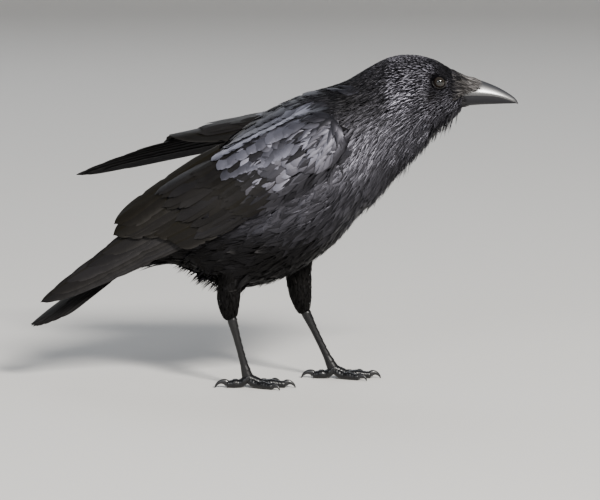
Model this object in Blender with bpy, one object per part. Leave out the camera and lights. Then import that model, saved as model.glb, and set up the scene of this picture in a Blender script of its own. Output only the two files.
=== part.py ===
"""A carrion crow at life size: still, standing, leaning forward, with its wings loosely folded.

+X points along the bill, +Y to the bird's left, +Z up. Every number below is in millimetres until
it becomes a mesh; the soles stand at Z = 0. The left wing is lifted and held away from the back,
and the right wing hangs along the flank.
"""

from math import cos, pi, radians, sin

import bmesh
import bpy
from mathutils import Matrix, Vector

MM = 0.001
GAP = 0.3                       # clearance between touching pieces

# Driving sizes of the bird.
BODY_SIDES = 24                 # points round each section of the head, neck and trunk
SECTION_POWER = 2.15            # a little squarer than an ellipse, as plumage is
FOOT_SPREAD = 25.0              # each foot's distance from the midline
EYE_RADIUS = 6.4
TARSUS_RADIUS = 3.5
VANE_THICKNESS = 1.1            # a flight feather in the solids
VANE_STEP = 0.5                 # how far each flight feather lies above the next
VANE_STATIONS = (0.0, 0.4, 0.8, 0.93, 1.0)

# Sections of the body from the forehead to the tail: the top point (x, z), the bottom point
# (x, z), half the width, and how far up the section it is widest.
HEAD_SECTIONS = [
    ((169.5, 275.5), (166.5, 245.0), 9.6, 0.50),    # feathers round the bill's base
    ((163.0, 278.4), (161.5, 239.8), 13.0, 0.50),   # forehead and chin
    ((154.5, 283.8), (154.5, 234.8), 17.0, 0.51),   # lores
    ((142.0, 290.7), (144.5, 227.5), 20.6, 0.53),   # eyes
    ((124.0, 294.5), (136.0, 217.5), 22.2, 0.54),   # crown
    ((105.0, 293.0), (127.5, 207.0), 23.6, 0.52),   # nape
]
NECK_SECTIONS = [
    ((86.0, 284.0), (117.5, 198.0), 26.6, 0.50),    # hind neck and throat
    ((64.0, 270.6), (104.0, 183.5), 32.5, 0.47),    # foot of the neck
]
TRUNK_SECTIONS = [
    ((40.0, 263.4), (91.5, 166.6), 41.0, 0.46),     # mantle and upper breast
    ((13.0, 254.0), (75.5, 153.8), 47.5, 0.45),     # shoulders
    ((-12.0, 240.5), (57.5, 130.5), 50.5, 0.44),    # breast
    ((-34.0, 223.0), (36.0, 113.0), 50.5, 0.43),    # back
    ((-52.0, 206.0), (8.0, 96.3), 48.0, 0.42),      # belly
    ((-66.0, 191.0), (-20.0, 89.0), 43.5, 0.42),    # hips
    ((-80.0, 176.5), (-52.0, 91.0), 35.0, 0.44),    # vent
    ((-95.0, 163.5), (-76.0, 108.5), 27.0, 0.50),   # rump
]
TAIL_COVERT_SECTIONS = [
    ((-112.0, 149.5), (-101.0, 109.5), 21.5, 0.55),  # root of the tail
    ((-134.0, 131.0), (-127.0, 103.0), 17.5, 0.60),  # end of the tail coverts
    ((-156.0, 112.5), (-152.0, 98.0), 10.0, 0.60),
]
BODY_SECTIONS = HEAD_SECTIONS + NECK_SECTIONS + TRUNK_SECTIONS + TAIL_COVERT_SECTIONS

# Where the body is parted, counted in sections from the forehead.
NECK_START = 4.6
TRUNK_START = 7.5
COVERT_START = 15.5
BODY_END = len(BODY_SECTIONS) - 1

# Sections of the bill: x, culmen z, cutting edge z, lower edge z, half the width.
BILL_SECTIONS = [
    (157.0, 276.4, 257.0, 247.5, 10.6),
    (165.0, 276.1, 258.9, 248.4, 9.8),
    (175.0, 274.2, 259.3, 249.6, 8.5),
    (186.0, 271.3, 259.1, 250.4, 6.9),
    (196.0, 267.4, 258.3, 250.8, 5.2),
    (204.0, 263.4, 256.6, 251.1, 3.8),
    (211.0, 259.0, 254.2, 251.3, 2.4),
    (215.3, 255.4, 252.6, 251.4, 1.3),
    (217.4, 251.9, 250.7, 251.2, 0.5),
]
LOWER_BILL_LENGTH = 7.35        # the lower bill's end, counted in bill sections

EYE_CENTRE = (146.6, 12.3, 271.3)
SOCKET_CENTRE = (146.6, 23.0, 271.3)
SOCKET_RADII = (9.6, 6.4, 8.6)

# The legs: hidden top of the thigh, ankle, foot joint (x, z), and each thigh's radii down its length.
LEGS = {
    "right": {"hip": (-27.0, 122.0), "knee": (-39.0, 90.0), "ankle": (-37.6, 60.6), "foot": (-22.5, 9.5)},
    "left": {"hip": (24.0, 132.0), "knee": (22.6, 92.0), "ankle": (27.6, 59.4), "foot": (54.5, 9.5)},
}
THIGH_RADII = [(17.0, 15.0), (14.5, 13.0), (11.6, 10.6), (10.8, 9.6), (8.6, 7.6), (5.2, 4.8)]

# Toes: yaw outward from straight ahead, length without the claw, and radius at the root.
TOES = {
    "middle": {"yaw": 2.0, "reach": 34.0, "radius": 4.5},
    "inner": {"yaw": -27.0, "reach": 25.5, "radius": 4.1},
    "outer": {"yaw": 30.0, "reach": 26.0, "radius": 4.0},
    "hallux": {"yaw": 176.0, "reach": 19.5, "radius": 4.6},
}
# Along each toe: how far, and its middle's height and half width against the toe's radius.
TOE_PROFILE = [
    (0.0, 1.9, 1.05), (0.22, 1.2, 1.05), (0.4, 0.8, 0.86),
    (0.6, 0.82, 0.96), (0.8, 0.7, 0.78), (1.0, 0.64, 0.72),
]
CLAW_LENGTH = {"middle": 12.0, "inner": 11.0, "outer": 10.0, "hallux": 14.5}
CLAW_BITE = 0.25                # how much of each claw's point is flattened where it rests

# Folded wings. u runs from the wrist to the tip, v across to the innermost tertial, w outward.
WING_LENGTH = 288.0
WINGS = {
    "right": {
        "wrist": (44.0, -47.0, 222.0),
        "tip": (-207.0, -32.0, 77.5),
        "inward": (-0.45, 0.22, 0.82),
        "outward": (0.0, -1.0, 0.0),
        "fold": 38.0,
        "cross_camber": 5.0,
        "long_camber": 5.0,
        "covert_depth": 1.7,
        "secondary_slide": 0.0,
    },
    "left": {
        "wrist": (68.0, 47.0, 244.0),
        "tip": (-184.5, 135.0, 177.5),
        "inward": (0.0, -0.86, 0.50),
        "outward": (0.0, 0.5, 0.86),
        "fold": 65.0,
        "cross_camber": 4.0,
        "long_camber": 3.0,
        "covert_depth": 1.3,
        "secondary_slide": -21.0,
    },
}
CAMBER_CENTRE = -4.0
CAMBER_SPAN = 40.0
FOLD_START = 10.0               # where the wing turns over toward the back, along v
FOLD_END = 32.0
WING_BENDS = (("v", 10.0), ("v", 16.0), ("v", 22.0), ("v", 28.0), ("v", 34.0), ("u", 150.0), ("u", 205.0))

# Flight feathers, innermost first: root, bow and tip as (u, v), and half the width.
SECONDARIES = [
    ((84, 42.0), (142, 39.0), (196, 26.5), 10.5),
    ((86, 32.0), (142, 31.0), (191, 22.0), 11.5),
    ((92, 23.0), (144, 21.5), (201, 18.0), 11.0),
    ((100, 14.5), (145, 13.5), (192, 12.5), 10.5),
    ((99, 5.8), (138, 6.0), (180, 7.0), 10.0),
    ((98, -3.0), (134, -2.5), (169, 0.0), 10.0),
    ((96, -12.0), (129, -11.2), (161, -8.5), 9.5),
    ((94, -20.3), (126, -19.6), (157, -16.0), 9.0),
]
PRIMARIES = [
    ((100, 6), (160, 7.5), (219, 9.5), 9.0),
    ((98, 2), (165, 5.0), (236, 6.5), 9.0),
    ((96, -2), (175, 2.0), (259, 4.0), 9.0),
    ((94, -6), (185, -1.0), (277, 1.8), 8.8),
    ((92, -10), (188, -4.5), (288, 0.0), 8.6),
    ((90, -15), (184, -9.0), (281, -2.5), 7.6),
    ((88, -20), (178, -13.5), (262, -5.0), 6.2),
]
# The wing's coverts as a lens over the roots: u, v of its middle, half height, half thickness.
COVERT_SECTIONS = [
    (-20.0, 2.0, 10.0, 2.5),
    (-8.0, 4.0, 24.0, 5.0),
    (15.0, 6.0, 34.0, 6.5),
    (45.0, 8.0, 38.5, 7.0),
    (75.0, 9.0, 39.5, 6.8),
    (100.0, 11.0, 37.5, 6.2),
    (122.0, 16.0, 30.5, 4.8),
    (139.0, 21.5, 17.0, 2.6),
    (146.0, 22.0, 5.0, 1.0),
]
COVERT_RISE = 4.4               # the coverts' outer surface above the wing's middle
SECONDARY_LEVEL = 1.4           # the innermost secondary's level
PRIMARY_LEVEL = -3.8            # the innermost primary's level

# The tail: root, tip, roll toward the bird's right, and its feathers from the middle outward.
TAIL_ROOT = (-84.0, 0.0, 153.5)
TAIL_TIP = (-216.8, 0.0, 52.5)
TAIL_ROOT_START = 36.0          # where the tail feathers begin inside the tail coverts
TAIL_ROLL = 12.0
TAIL_PAIRS = 6
TAIL_FAN = 2.3                  # lateral step between neighbouring feather tips
TAIL_ROOT_STEP = 1.6
TAIL_HALF_WIDTH = 8.5
TAIL_SHORTENING = 1.0          # how fast the outer feathers get shorter
TAIL_VANE_STEP = 0.5
TAIL_BENDS = (("v", -9.0), ("v", 9.0))


def make_collection(name):
    collection = bpy.data.collections.new(name)
    bpy.context.scene.collection.children.link(collection)
    return collection


def make_material(name, colour, roughness, metallic=0.0):
    material = bpy.data.materials.new(name)
    material.use_nodes = True
    shader = material.node_tree.nodes["Principled BSDF"]
    shader.inputs["Base Color"].default_value = (*colour, 1.0)
    shader.inputs["Roughness"].default_value = roughness
    shader.inputs["Metallic"].default_value = metallic
    material.diffuse_color = (*colour, 1.0)
    return material


def add_object(name, bm, collection, material=None, sharp_angle=40.0):
    """Turn a mesh in millimetres into an object in metres, with its faces pointing out."""
    bmesh.ops.scale(bm, vec=(MM, MM, MM), verts=bm.verts)
    bmesh.ops.recalc_face_normals(bm, faces=bm.faces)
    if bm.calc_volume(signed=True) < 0:
        bmesh.ops.reverse_faces(bm, faces=bm.faces)
    mesh = bpy.data.meshes.new(name)
    bm.to_mesh(mesh)
    bm.free()
    finish_mesh(mesh, material, sharp_angle)
    obj = bpy.data.objects.new(name, mesh)
    collection.objects.link(obj)
    return obj


def finish_mesh(mesh, material, sharp_angle=40.0):
    mesh.shade_smooth()
    mesh.set_sharp_from_angle(angle=radians(sharp_angle))
    if material:
        mesh.materials.clear()
        mesh.materials.append(material)


def evaluated_mesh(obj):
    bpy.context.view_layer.update()
    return bpy.data.meshes.new_from_object(obj.evaluated_get(bpy.context.evaluated_depsgraph_get()))


def loft(bm, rings):
    """Close a row of rings, each with the same number of points, into one solid."""
    rows = [[bm.verts.new(point) for point in ring] for ring in rings]
    count = len(rows[0])
    for row, following in zip(rows, rows[1:]):
        for i in range(count):
            j = (i + 1) % count
            bm.faces.new((row[i], row[j], following[j], following[i]))
    for row in (rows[0], rows[-1]):
        middle = bm.verts.new(sum((v.co for v in row), Vector()) / count)
        for i in range(count):
            bm.faces.new((row[i], row[(i + 1) % count], middle))
    bmesh.ops.triangulate(bm, faces=bm.faces)


def blend_rows(rows, place):
    """Read a smooth curve through rows of numbers at a place counted in rows."""
    start = min(max(int(place), 0), len(rows) - 2)
    t = place - start
    picked = [rows[min(max(start + k, 0), len(rows) - 1)] for k in (-1, 0, 1, 2)]
    result = []
    for a, b, c, d in zip(*picked):
        slope_b, slope_c = (c - a) / 2, (d - b) / 2
        result.append(
            (2 * t**3 - 3 * t**2 + 1) * b + (t**3 - 2 * t**2 + t) * slope_b
            + (3 * t**2 - 2 * t**3) * c + (t**3 - t**2) * slope_c
        )
    return result


def spread(start, end, count):
    return [start + (end - start) * i / (count - 1) for i in range(count)]


def power(value, exponent):
    return abs(value) ** exponent * (1 if value >= 0 else -1)


def inflated(obj, cutters, distance=GAP):
    """A copy of a piece, grown by the clearance, to cut its neighbour with."""
    mesh = evaluated_mesh(obj)
    bm = bmesh.new()
    bm.from_mesh(mesh)
    bmesh.ops.remove_doubles(bm, verts=bm.verts, dist=1e-6)
    bm.normal_update()
    offsets = [v.normal * distance * MM for v in bm.verts]
    for vert, offset in zip(bm.verts, offsets):
        vert.co += offset
    bm.to_mesh(mesh)
    bm.free()
    cutter = bpy.data.objects.new(obj.name + "_clearance", mesh)
    cutters.objects.link(cutter)
    cutter.hide_render = True
    cutter.display_type = "WIRE"
    return cutter


def cut(obj, cutter):
    modifier = obj.modifiers.new("cut_" + cutter.name, "BOOLEAN")
    modifier.operation = "DIFFERENCE"
    modifier.solver = "EXACT"
    modifier.object = cutter


def settle(obj, material, sharp_angle=40.0):
    """Apply a piece's modifiers, so that later cutters see its real shape."""
    mesh = evaluated_mesh(obj)
    obj.modifiers.clear()
    obj.data = mesh
    finish_mesh(mesh, material, sharp_angle)


def drop_scraps(obj):
    """Keep a cut piece's main body, without the crumbs that the cutters leave beside it."""
    bm = bmesh.new()
    bm.from_mesh(obj.data)
    bodies = []
    unseen = set(bm.verts)
    while unseen:
        body = []
        queue = [unseen.pop()]
        while queue:
            vert = queue.pop()
            body.append(vert)
            for edge in vert.link_edges:
                other = edge.other_vert(vert)
                if other in unseen:
                    unseen.remove(other)
                    queue.append(other)
        bodies.append(body)
    bodies.sort(key=len)
    bmesh.ops.delete(bm, geom=[vert for body in bodies[:-1] for vert in body])
    bm.to_mesh(obj.data)
    bm.free()


def unite(pieces, material):
    """Join overlapping pieces into the first one as a single closed body."""
    first, others = pieces[0], pieces[1:]
    for other in others:
        modifier = first.modifiers.new("join", "BOOLEAN")
        modifier.operation = "UNION"
        modifier.solver = "EXACT"
        modifier.object = other
    settle(first, material)
    for other in others:
        bpy.data.objects.remove(other)
    return first


# The body.

def body_ring(place):
    rows = [(*top, *bottom, width, level) for top, bottom, width, level in BODY_SECTIONS]
    top_x, top_z, bottom_x, bottom_z, width, level = blend_rows(rows, place)
    ring = []
    for i in range(BODY_SIDES):
        angle = 2 * pi * i / BODY_SIDES
        across = power(cos(angle), 2 / SECTION_POWER)
        up = power(sin(angle), 2 / SECTION_POWER)
        height = level + up * ((1 - level) if up > 0 else level)
        ring.append(Vector((
            bottom_x + (top_x - bottom_x) * height,
            width * across,
            bottom_z + (top_z - bottom_z) * height,
        )))
    return ring


def body_piece(name, start, end, rings, collection, material):
    bm = bmesh.new()
    loft(bm, [body_ring(place) for place in spread(start, end, rings)])
    return add_object(name, bm, collection, material)


def ball(centre, radii, sides, rings):
    bm = bmesh.new()
    bmesh.ops.create_uvsphere(bm, u_segments=sides, v_segments=rings, radius=1.0)
    bmesh.ops.rotate(bm, matrix=Matrix.Rotation(pi / 2, 3, "X"), verts=bm.verts)
    bmesh.ops.scale(bm, vec=radii, verts=bm.verts)
    bmesh.ops.translate(bm, vec=centre, verts=bm.verts)
    return bm


def body_clearance(place):
    """How far the place moves along the body for half a clearance."""
    here = Vector(blend_rows([(*top, *bottom) for top, bottom, _, _ in BODY_SECTIONS], place))
    there = Vector(blend_rows([(*top, *bottom) for top, bottom, _, _ in BODY_SECTIONS], place + 0.01))
    step = (there - here) / 0.01
    slowest = min(Vector(step[:2]).length, Vector(step[2:]).length)
    return GAP / 2 / slowest * 1.3


# The bill.

def bill_ring(place, upper):
    x, culmen, edge, under, width = blend_rows(BILL_SECTIONS, place)
    sides = 12
    ring = []
    if upper:
        low, high = edge, culmen
        for i in range(sides + 1):
            angle = pi * i / sides
            ring.append((x, width * cos(angle), low + (high - low) * sin(angle) ** 0.9))
        ring += [(x, -width * 0.5, low), (x, 0.0, low), (x, width * 0.5, low)]
    else:
        high, low = edge - GAP, min(under, edge - GAP - 0.6)
        for i in range(sides + 1):
            angle = pi + pi * i / sides
            ring.append((x, 0.9 * width * cos(angle), high + (high - low) * sin(angle)))
        ring += [(x, width * 0.45, high), (x, 0.0, high), (x, -width * 0.45, high)]
    return [Vector(point) for point in ring]


# The legs and feet.

def frame_round(direction):
    """Two directions across a limb: forward along the ground, and to the bird's left."""
    side = Vector((0, 1, 0))
    forward = side.cross(direction).normalized()
    return forward, side


def thigh(name, side, leg, collection, material):
    y = FOOT_SPREAD * (1 if side == "left" else -1)
    rows = [(leg["hip"][0], leg["hip"][1]), leg["knee"], leg["ankle"]]
    places = spread(0.0, 1.96, 9)
    bm = bmesh.new()
    rings = []
    for k, place in enumerate(places):
        x, z = blend_rows(rows, place)
        fore, lateral = blend_rows(THIGH_RADII, k * (len(THIGH_RADII) - 1) / 8)
        rings.append([
            Vector((
                x + fore * cos(2 * pi * i / 12),
                y + lateral * sin(2 * pi * i / 12),
                z + 0.25 * fore * cos(2 * pi * i / 12),
            ))
            for i in range(12)
        ])
    loft(bm, rings)
    return add_object(name, bm, collection, material)


def tarsus(name, side, leg, collection, material):
    """The bare shank: a knob at the ankle, a slim shaft, and a flare over the toes."""
    y = FOOT_SPREAD * (1 if side == "left" else -1)
    top = Vector((leg["ankle"][0], y, leg["ankle"][1] + 2.0))
    bottom = Vector((leg["foot"][0], y, leg["foot"][1]))
    direction = (bottom - top).normalized()
    forward, left = frame_round(direction)
    scales = [
        (0.0, 1.15), (0.06, 1.3), (0.14, 1.2), (0.3, 1.0), (0.55, 0.94), (0.75, 1.05), (0.9, 1.4), (1.0, 1.5),
    ]
    bm = bmesh.new()
    rings = []
    for t, scale in scales:
        centre = top.lerp(bottom, t)
        fore = TARSUS_RADIUS * scale
        lateral = TARSUS_RADIUS * 0.78 * scale
        rings.append([
            centre + forward * fore * cos(2 * pi * i / 10) + left * lateral * sin(2 * pi * i / 10)
            for i in range(10)
        ])
    loft(bm, rings)
    return add_object(name, bm, collection, material)


def toe_path(side, leg, toe):
    """The middle line of a toe from the foot joint outward, before its claw."""
    facing = 1 if side == "left" else -1
    yaw = radians(toe["yaw"] * facing)
    direction = Vector((cos(yaw), sin(yaw), 0))
    origin = Vector((leg["foot"][0], FOOT_SPREAD * facing, 0))
    path = []
    for t, height, width in TOE_PROFILE:
        centre = origin + direction * toe["reach"] * t + Vector((0, 0, toe["radius"] * height))
        path.append((centre, toe["radius"] * width))
    return path, direction


def toe_piece(name, side, leg, toe, collection):
    path, direction = toe_path(side, leg, toe)
    across = Vector((-direction.y, direction.x, 0))
    bm = bmesh.new()
    rings = []
    for centre, radius in path:
        ring = []
        for i in range(8):
            angle = 2 * pi * (i + 0.5) / 8
            point = centre + across * radius * cos(angle) + Vector((0, 0, radius * sin(angle)))
            point.z = max(point.z, 0.0)
            ring.append(point)
        rings.append(ring)
    loft(bm, rings)
    return add_object(name, bm, collection)


def claw(name, side, leg, toe, length, collection, material):
    """A curved claw: up over the toe's end, then down to a point that rests on the floor."""
    path, direction = toe_path(side, leg, toe)
    start, radius = path[-1]
    across = Vector((-direction.y, direction.x, 0))
    up = Vector((0, 0, 1))
    steps = 5
    bm = bmesh.new()
    rings = []
    centre = start - direction * 1.4 + up * 0.6
    heading = radians(44)
    for k in range(steps):
        t = k / (steps - 1)
        size = radius * (0.86 * (1 - t) ** 0.75 + 0.1)
        along = direction * cos(heading) + up * sin(heading)
        over = up * cos(heading) - direction * sin(heading)
        rings.append([
            centre + across * size * 0.8 * cos(2 * pi * i / 6) + over * size * sin(2 * pi * i / 6)
            for i in range(6)
        ])
        heading -= radians(30)
        centre = centre + along * length / (steps - 1)
    loft(bm, rings)
    reach = (rings[-1][0] - start).dot(direction)
    drop = -CLAW_BITE - min(point.z for point in rings[-1])
    for vert in bm.verts:
        share = min(max((vert.co - start).dot(direction) / reach, 0.0), 1.0)
        vert.co.z = max(vert.co.z + drop * share, 0.0)
    return add_object(name, bm, collection, material)


# The wings.

def wing_frame(wing):
    wrist, tip = Vector(wing["wrist"]), Vector(wing["tip"])
    along = (tip - wrist).normalized()
    inward = Vector(wing["inward"])
    inward = (inward - along * inward.dot(along)).normalized()
    outward = along.cross(inward).normalized()
    if outward.dot(Vector(wing["outward"])) < 0:
        outward = -outward
    return wrist, along, inward, outward, (tip - wrist).length / WING_LENGTH


def wing_point(wing, u, v, w):
    """A place on the folded wing, whose outer part is flat and whose tertials turn over inward."""
    wrist, along, inward, outward, reach = wing_frame(wing)
    fold = radians(wing["fold"])
    turn = min(max((v - FOLD_START) / (FOLD_END - FOLD_START), 0.0), 1.0) * fold
    radius = (FOLD_END - FOLD_START) / fold
    beyond = max(v - FOLD_END, 0.0)
    across = min(v, FOLD_START) + radius * sin(turn) + beyond * cos(fold)
    under = radius * (1 - cos(turn)) + beyond * sin(fold)
    lift = outward * cos(turn) + inward * sin(turn)
    fade = 1 - 0.7 * max(u, 0.0) / WING_LENGTH
    cross = wing["cross_camber"] * fade * max(1 - ((v - CAMBER_CENTRE) / CAMBER_SPAN) ** 2, 0.0)
    half = WING_LENGTH / 2
    lengthwise = wing["long_camber"] * (1 - ((u - half) / half) ** 2)
    surface = wrist + along * u * reach + inward * across + outward * (lengthwise - under)
    return surface + lift * (w + cross)


def vane_outline(t, half_width):
    """Half the width of a flight feather at a share of its length."""
    root = min(1.0, 0.75 + 1.2 * t)
    end = max(0.0, 1 - ((t - 0.8) / 0.2) ** 2) ** 0.5 if t > 0.8 else 1.0
    return half_width * root * max(end, 0.2)


def vane(root, bow, tip, half_width, level):
    """One flight feather, flat for now: a thin blade in (u, v) that lies at its own level."""
    edges = [[], []]
    for t in VANE_STATIONS:
        middle = [
            (1 - t) ** 2 * a + 2 * t * (1 - t) * b + t**2 * c
            for a, b, c in zip(root, bow, tip)
        ]
        heading = Vector([
            2 * (1 - t) * (b - a) + 2 * t * (c - b)
            for a, b, c in zip(root, bow, tip)
        ]).normalized()
        width = vane_outline(t, half_width)
        for edge, facing in zip(edges, (1, -1)):
            edge.append((middle[0] - heading.y * width * facing, middle[1] + heading.x * width * facing))
    outline = edges[0] + edges[1][::-1]
    bm = bmesh.new()
    under, over = (
        [bm.verts.new((u, v, level + offset)) for u, v in outline]
        for offset in (-VANE_THICKNESS / 2, VANE_THICKNESS / 2)
    )
    bm.faces.new(over)
    bm.faces.new(under[::-1])
    for i, low in enumerate(under):
        j = (i + 1) % len(under)
        bm.faces.new((low, under[j], over[j], over[i]))
    return bm


def bent_feathers(name, blades, bends, place_point, collection, material):
    """Unite flat blades, score them where they bend, and lay them on their curved surface."""
    pieces = [add_object(name if k == 0 else name + str(k), bm, collection) for k, bm in enumerate(blades)]
    fan = unite(pieces, material)
    bm = bmesh.new()
    bm.from_mesh(fan.data)
    straight = [e for e in bm.edges if e.is_manifold and e.calc_face_angle() < 0.001]
    bmesh.ops.dissolve_edges(bm, edges=straight, use_verts=True)
    for axis, place in bends:
        normal = Vector((axis == "u", axis == "v", 0))
        geometry = [*bm.verts, *bm.edges, *bm.faces]
        bmesh.ops.bisect_plane(bm, geom=geometry, dist=1e-7, plane_co=normal * place * MM, plane_no=normal)
    bmesh.ops.triangulate(bm, faces=bm.faces)
    for vert in bm.verts:
        vert.co = place_point(*(vert.co / MM)) * MM
    bmesh.ops.recalc_face_normals(bm, faces=bm.faces)
    bm.to_mesh(fan.data)
    bm.free()
    finish_mesh(fan.data, material)
    return fan


def flight_feathers(name, wing, feathers, level, slide, collection, material):
    def place_point(u, v, w):
        return wing_point(wing, u + slide, v, w)

    blades = [vane(*feather, level - VANE_STEP * k) for k, feather in enumerate(feathers)]
    return bent_feathers(name, blades, WING_BENDS, place_point, collection, material)


def covert_lens(name, wing, collection, material):
    bm = bmesh.new()
    rings = []
    for place in spread(0.0, len(COVERT_SECTIONS) - 1, 10):
        u, v, height, thickness = blend_rows(COVERT_SECTIONS, place)
        thickness *= wing["covert_depth"]
        rings.append([
            wing_point(
                wing,
                u,
                v + height * power(cos(2 * pi * i / 16), 0.7),
                COVERT_RISE - thickness + thickness * power(sin(2 * pi * i / 16), 0.7),
            )
            for i in range(16)
        ])
    loft(bm, rings)
    return add_object(name, bm, collection, material)


# The tail.

def tail_point(u, v, w):
    root, tip = Vector(TAIL_ROOT), Vector(TAIL_TIP)
    along = (tip - root).normalized()
    roll = radians(TAIL_ROLL)
    level_up = Vector((0, 1, 0)).cross(along).normalized()
    if level_up.z < 0:
        level_up = -level_up
    left = Vector((0, 1, 0)) * cos(roll) + level_up * sin(roll)
    up = level_up * cos(roll) - Vector((0, 1, 0)) * sin(roll)
    return root + along * u + left * v + up * (w - 0.006 * v * v)


def tail_feathers(name, collection, material):
    full = (Vector(TAIL_TIP) - Vector(TAIL_ROOT)).length
    blades = []
    for pair in range(TAIL_PAIRS):
        for side in (1, -1):
            step = pair + 0.5
            length = full - TAIL_SHORTENING * pair**2
            root = (TAIL_ROOT_START + 1.7 * pair + 0.8 * (side > 0), side * TAIL_ROOT_STEP * step)
            bow = (length * 0.65, side * (TAIL_ROOT_STEP + TAIL_FAN) / 2 * step)
            tip = (length, side * TAIL_FAN * step)
            level = -TAIL_VANE_STEP * (2 * pair + (side < 0))
            blades.append(vane(root, bow, tip, TAIL_HALF_WIDTH, level))
    return bent_feathers(name, blades, TAIL_BENDS, tail_point, collection, material)


def build_body(parts, plumage):
    starts = (NECK_START, TRUNK_START, COVERT_START)
    neck_gap, trunk_gap, covert_gap = (body_clearance(place) for place in starts)
    head = body_piece("head", 0.0, NECK_START - neck_gap, 11, parts, plumage)
    neck = body_piece("neck", NECK_START + neck_gap, TRUNK_START - trunk_gap, 6, parts, plumage)
    trunk = body_piece("trunk", TRUNK_START + trunk_gap, COVERT_START - covert_gap, 13, parts, plumage)
    tail_coverts = body_piece("tail_coverts", COVERT_START + covert_gap, BODY_END, 5, parts, plumage)
    return head, neck, trunk, tail_coverts


def build_eyes(head, parts, cutters, plumage, eye_material):
    for side, facing in (("left", 1), ("right", -1)):
        centre = (EYE_CENTRE[0], EYE_CENTRE[1] * facing, EYE_CENTRE[2])
        eye = add_object("eye_" + side, ball(centre, (EYE_RADIUS,) * 3, 12, 8), parts, eye_material)
        place = (SOCKET_CENTRE[0], SOCKET_CENTRE[1] * facing, SOCKET_CENTRE[2])
        socket = add_object("socket_" + side, ball(place, SOCKET_RADII, 12, 8), cutters)
        socket.hide_render = True
        socket.display_type = "WIRE"
        cut(head, socket)
        cut(head, inflated(eye, cutters))
    settle(head, plumage)


def build_bill(head, parts, cutters, horn):
    clearance = inflated(head, cutters)
    last = len(BILL_SECTIONS) - 1
    for name, upper, end in (("upper_bill", True, last), ("lower_bill", False, LOWER_BILL_LENGTH)):
        bm = bmesh.new()
        loft(bm, [bill_ring(place, upper) for place in spread(0.0, end, 10)])
        bill = add_object(name, bm, parts, horn)
        cut(bill, clearance)
        settle(bill, horn)


def build_legs(trunk, parts, cutters, plumage, scales, horn):
    trunk_clearance = inflated(trunk, cutters)
    for side, leg in LEGS.items():
        shin = thigh("thigh_" + side, side, leg, parts, plumage)
        cut(shin, trunk_clearance)
        settle(shin, plumage)
        shank = tarsus("tarsus_" + side, side, leg, parts, scales)
        cut(shank, inflated(shin, cutters))
        settle(shank, scales)
        toes = [
            toe_piece("foot_" + side if key == "middle" else "toe_" + key, side, leg, toe, parts)
            for key, toe in TOES.items()
        ]
        foot = unite(toes, scales)
        cut(foot, inflated(shank, cutters))
        settle(foot, scales)
        foot_clearance = inflated(foot, cutters)
        for key, toe in TOES.items():
            nail = claw("claw_" + side + "_" + key, side, leg, toe, CLAW_LENGTH[key], parts, horn)
            cut(nail, foot_clearance)
            settle(nail, horn)


def build_wings(trunk, neck, parts, cutters, plumage, flight):
    body_cutters = [inflated(trunk, cutters), inflated(neck, cutters)]
    for side, wing in WINGS.items():
        coverts = covert_lens("wing_" + side + "_coverts", wing, parts, plumage)
        covert_clearance = inflated(coverts, cutters)
        for cutter in body_cutters:
            cut(coverts, cutter)
        settle(coverts, plumage)
        rows = (
            ("_secondaries", SECONDARIES, SECONDARY_LEVEL, wing["secondary_slide"]),
            ("_primaries", PRIMARIES, PRIMARY_LEVEL, 0.0),
        )
        for ending, feathers, level, slide in rows:
            vanes = flight_feathers("wing_" + side + ending, wing, feathers, level, slide, parts, flight)
            for cutter in [covert_clearance, *body_cutters]:
                cut(vanes, cutter)
            settle(vanes, flight)
            drop_scraps(vanes)


def stand_on_origin(parts, cutters):
    """Put the origin on the floor, under the middle of the whole bird's spread."""
    bpy.context.view_layer.update()
    corners = [obj.matrix_world @ Vector(corner) for obj in parts.objects for corner in obj.bound_box]
    low = [min(corner[axis] for corner in corners) for axis in range(3)]
    high = [max(corner[axis] for corner in corners) for axis in range(3)]
    shift = Vector((-(low[0] + high[0]) / 2, -(low[1] + high[1]) / 2, -low[2]))
    for obj in [*parts.objects, *cutters.objects]:
        obj.data.transform(Matrix.Translation(shift))


def main():
    for obj in list(bpy.data.objects):
        bpy.data.objects.remove(obj)
    parts = make_collection("crow")
    cutters = make_collection("cutters")
    plumage = make_material("plumage", (0.012, 0.013, 0.018), 0.55)
    flight = make_material("flight_feathers", (0.022, 0.018, 0.014), 0.5)
    horn = make_material("horn", (0.03, 0.03, 0.034), 0.28)
    scales = make_material("leg_scales", (0.018, 0.018, 0.021), 0.4)
    eye_material = make_material("eye", (0.012, 0.007, 0.004), 0.05)

    head, neck, trunk, tail_coverts = build_body(parts, plumage)
    build_eyes(head, parts, cutters, plumage, eye_material)
    build_bill(head, parts, cutters, horn)
    build_legs(trunk, parts, cutters, plumage, scales, horn)
    build_wings(trunk, neck, parts, cutters, plumage, flight)
    tail = tail_feathers("tail", parts, flight)
    cut(tail, inflated(tail_coverts, cutters))
    settle(tail, flight)
    drop_scraps(tail)
    stand_on_origin(parts, cutters)


main()
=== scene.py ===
"""Looks of the carrion crow: skin, feathers, bill, eyes, legs and a plain pale studio."""

from math import cos, pi, radians, sin

import bmesh
import bpy
import numpy as np
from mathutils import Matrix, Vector
from mathutils.bvhtree import BVHTree


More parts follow.
